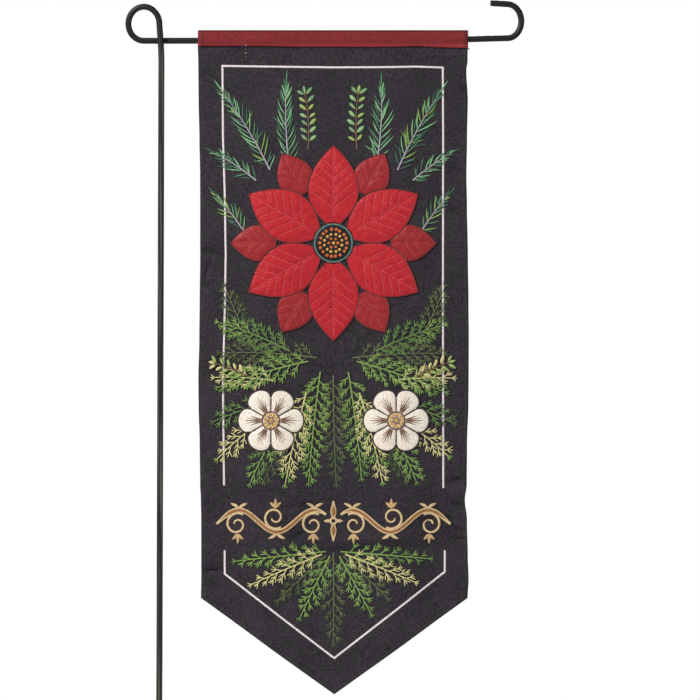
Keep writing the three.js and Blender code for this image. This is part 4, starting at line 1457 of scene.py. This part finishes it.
# %% [markdown]
# ## The gold band
# Between the picture and the point the flag has a wide band of gold satin stitch. Here it is a running scroll
# of vine, one of the oldest border ornaments: a wave whose every bow holds a spiral tendril that ends in a
# bud. Its thick bars are sewn as on the real flag, a light rail of thread along each side and a brown core
# between them. Thin bars are one light rail over a slightly wider brown line.

# %% The two kinds of gold bar
GOLD = linear(220, 194, 150)
DEEP_GOLD = linear(204, 172, 122)
GOLD_CORE = linear(156, 106, 60)
GOLD_EDGE = linear(116, 82, 52)
RAIL_WIDTH = 1.9


def beside(points, offset):
    """A line beside another one, moved to its left by an offset that may change along it."""
    way = np.gradient(points, axis=0)
    way /= np.linalg.norm(way, axis=1, keepdims=True)
    return points + np.stack([-way[:, 1], way[:, 0]], axis=1) * np.reshape(offset, (-1, 1))


def thick_bar(points, widths):
    points = np.asarray(points, float)
    inset = np.maximum(widths / 2 - RAIL_WIDTH * 0.45, 0.05)
    rails = [strand(beside(points, offset), RAIL_WIDTH, GOLD, 0.75) for offset in (inset, -inset)]
    return [strand(points, widths + 0.9, GOLD_EDGE, -0.1), strand(points, widths, GOLD_CORE, 0.15)] + rails


def thin_bar(points, widths, tint):
    return [strand(points, widths + 1.0, GOLD_EDGE, 0.0), strand(points, widths, tint, 0.5)]


print("rail width:", RAIL_WIDTH, "mm")

# %% The scroll
BAND_Z = 312.5
BOW, BOWS = 43.5, 3
WAVE_REACH, WAVE_POINTS = 12.5, 120
SCROLL_WIDTH = 5.6
BUD_WIDTHS = np.array([1.4, 3.0, 3.9, 3.6, 2.2, 0.6])
LEAF_WIDTHS = np.array([2.4, 5.2, 6.8, 6.4, 4.8, 2.8, 0.8])


def spiral(middle, radius, start, turns, steps=28):
    """Points of a spiral that winds in to a quarter of its radius. start is in degrees."""
    shares = [k / steps for k in range(steps + 1)]
    return [on_round(middle, radius * (1 - 0.76 * share), math.radians(start) + turns * 2 * math.pi * share)
            for share in shares]


def scroll_half(side):
    """The bars of one half of the band. side is -1 for the left one."""
    made = []
    for bow in range(BOWS):
        up = 1 if bow % 2 == 0 else -1
        middle = (FLAG_MIDDLE + side * (bow + 0.55) * BOW, BAND_Z - up * 4.0)
        coil = spiral(middle, 13.6, 180 - up * 58 if side > 0 else up * 58, -side * up * 1.3)
        made += thin_bar(coil, np.linspace(3.0, 1.8, len(coil)), GOLD)
        made.append(strand([coil[-1], (coil[-1][0] + 0.1, coil[-1][1] + 0.1)], 4.2, GOLD, 0.5))
        root = (FLAG_MIDDLE + side * (bow + 0.53) * BOW, BAND_Z - up * 15.0)
        crest = (FLAG_MIDDLE + side * (bow + 0.5) * BOW, BAND_Z + up * (WAVE_REACH + 2.2))
        buds = [(root, -90 * up + spread, reach, spread * 0.5, DEEP_GOLD)
                for spread, reach in ((-36, 9), (36, 9), (0, 11))]
        buds += [(crest, 90 * up + spread * 2.0, 11.0, spread, GOLD) for spread in (-24, 24)]
        for start, heading, reach, bend, tint in buds:
            made += thin_bar(arc(start, heading, reach, bend, 5)[0], BUD_WIDTHS, tint)
    run = np.linspace(8.5, BOW * BOWS + 4, WAVE_POINTS)
    wave = np.stack([FLAG_MIDDLE + side * run, BAND_Z + WAVE_REACH * np.sin(math.pi * run / BOW)], axis=1)
    count = np.arange(WAVE_POINTS)
    ends = np.minimum(1, np.minimum(count, count[::-1]) / 14)
    return made + thick_bar(wave, SCROLL_WIDTH * (0.45 + 0.55 * ends))


def band_middle():
    """Four leaves round a knot, where the two halves meet."""
    made = []
    for k in range(4):
        root = on_round((FLAG_MIDDLE, BAND_Z), 3, math.radians(90 * k))
        if k % 2:
            made += thick_bar(arc(root, 90 * k, 20, 0, 6)[0], LEAF_WIDTHS)
        else:
            made += thin_bar(arc(root, 90 * k, 8, 0, 6)[0], LEAF_WIDTHS * 0.7, GOLD)
    knot = [on_round((FLAG_MIDDLE, BAND_Z), 3.4, turn) for turn in np.linspace(0, 2 * math.pi, 17)]
    return made + [strand(knot, 2.4, GOLD, 1.0)]


band = scroll_half(-1) + scroll_half(1) + band_middle()
scroll = sew("gold_scroll", band, 8, 0.45)
print("scroll bars:", len(band), "size", rounded(scroll.dimensions, 3))

# %% [markdown]
# ## The last stitches
# Hems are held by a row of machine stitches 3 mm in from the edge, in thread of the cloth's own colour, so
# they show only as a faint row of dots. The sleeve has a row along its lower edge and one down each end.
# At the left a loose end of pale thread lies on the sleeve, with three pale and faded ones below it. At the
# right one hangs out as a small dark nub. They are where the photograph shows them.

# %% Running stitches
HEM_THREAD = linear(72, 66, 72)
HEM_ROW = 3.0


def hem_row():
    """The line 3 mm in from the flag's sides and foot, from the sleeve down and up again."""
    heights = np.linspace(855, CORNER_HEIGHT + 2.5, 190)
    left_side, right_side = zip(*[((left + HEM_ROW, z), (right - HEM_ROW, z))
                                  for z in heights for left, right in [side_edges(z)]])
    left, right = side_edges(CORNER_HEIGHT)
    rise = HEM_ROW / math.cos(math.atan2(CORNER_HEIGHT - TIP_HEIGHT, TIP_X - left))
    foot = [(x, foot_line(x) + rise) for x in np.linspace(left + HEM_ROW, right - HEM_ROW, 120)]
    return [*left_side, *foot, *right_side[::-1]]


row = with_steps(hem_row(), 4.0)
hem_stitches = backstitches(row, np.zeros(len(row)), 0.6, HEM_THREAD, 2.3, 1.0)
sew("hem_stitches", hem_stitches, 5, 0.7)
print("hem stitches:", len(hem_stitches))

# %% Stitches on the sleeve
DARK_THREAD = linear(34, 31, 36)
SLEEVE_THREAD = linear(122, 40, 44)
END_SEAM_THREAD = linear(84, 46, 46)
PALE_THREAD, FADED_THREAD = linear(206, 190, 186), linear(116, 106, 104)
LOOSE_X = 100.4
# in metres: where rays start, and a place just in front of the sleeve
RAY_START, SLEEVE_FRONT = -0.5, -0.012
left_seam, right_seam = sleeve_left + 5, sleeve_right - 4.3
# each row: start, end, width, colour, length of a stitch, gap
SLEEVE_ROWS = [
    ((sleeve_left + 4, ARM_HEIGHT - 5.6), (sleeve_right - 4, ARM_HEIGHT - 5.6), 0.5, SLEEVE_THREAD, 2.4, 1.0),
    ((left_seam, ARM_HEIGHT - 5), (left_seam, ARM_HEIGHT + 11.5), 1.5, END_SEAM_THREAD, 2.2, 0.3),
    ((right_seam, ARM_HEIGHT - 6.8), (right_seam, ARM_HEIGHT + 12), 1.5, END_SEAM_THREAD, 2.2, 0.3),
]

bpy.context.view_layer.update()
sleeve_surface = BVHTree.FromObject(sleeve, bpy.context.evaluated_depsgraph_get())


def lay_on_sleeve(mesh):
    """Lays a flat drawing on the sleeve's front: each point goes straight back until it meets the cloth."""
    for vertex in mesh.vertices:
        x, up, height = vertex.co
        hit, normal, _, _ = sleeve_surface.ray_cast(Vector((x * MM, RAY_START, up * MM)), Vector((0, 1, 0)))
        if hit is None:
            hit, normal, _, _ = sleeve_surface.find_nearest(Vector((x * MM, SLEEVE_FRONT, up * MM)))
        vertex.co = hit + normal * height * MM
    return mesh


sleeve_stitches = []
for start, end, width, tint, length, gap in SLEEVE_ROWS:
    row = with_steps([start, end], 4.0)
    sleeve_stitches += backstitches(row, np.full(len(row), 0.1), width, tint, length, gap)
sleeve_stitches.append(strand([(LOOSE_X, 860.0), (LOOSE_X, 858.7)], 1.1, PALE_THREAD, 0.15))
sew("sleeve_stitches", sleeve_stitches, 5, 0.7, place=lay_on_sleeve)
thread_ends = [strand([(LOOSE_X, z + 0.8), (LOOSE_X, z - 0.8)], 0.95, tint, 0.1)
               for z, tint in ((854.7, FADED_THREAD), (850.7, PALE_THREAD), (846.6, FADED_THREAD))]
nub = [(355.2, 857.0), (355.9, 855.9), (356.6, 855.2), (356.9, 854.0)]
thread_ends.append(strand(nub, [0.7, 1.5, 1.2, 0.5], DARK_THREAD, 0.5))
sew("thread_ends", thread_ends, 6, 0.8)
print("sleeve stitches:", len(sleeve_stitches), "thread ends:", len(thread_ends))

# %% [markdown]
# ## The floor
# A pale round floor lies at the tips of the stand's two points, so that the whole stand is seen, as in a
# studio. Towards its rim it turns clear, so that it has no edge that would cut the white background in two.
# It is part of the studio, not of the flag.

# %% The floor
FLOOR_RADIUS = 1.1
FLOOR_SOLID = 0.55


def floor_finish():
    finish = Finish("studio_floor", 0.85, 0.2)
    reach = finish.node("ShaderNodeVectorMath", {0: finish.place()}, operation="LENGTH").outputs["Value"]
    finish.set("Base Color", (0.86, 0.86, 0.85, 1.0))
    finish.set("Alpha", finish.rest(finish.ramp(reach, FLOOR_SOLID, FLOOR_RADIUS - 0.02)))
    return finish.material


bm = bmesh.new()
bmesh.ops.create_circle(bm, cap_ends=True, cap_tris=False, segments=96, radius=FLOOR_RADIUS)
bmesh.ops.translate(bm, vec=(0, 0, -STAKE_DEPTH * MM), verts=bm.verts)
floor = in_scene("studio_floor", to_mesh(bm))
floor.data.materials.append(floor_finish())
floor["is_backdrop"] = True
print("floor radius:", FLOOR_RADIUS, "m")

# %% [markdown]
# ## The cloth pieces
# The flag and the sleeve are the pieces of thin cloth. Flat, they are the cut cloth: the flag with its hems
# folded over, and the strip that is sewn into the sleeve.

# %% The cloth pieces
print("the cloth pieces are dark_cloth and red_sleeve")

# %% Measuring and finishing
visual_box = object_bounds()
print("visual box:", [rounded(corner) for corner in visual_box])
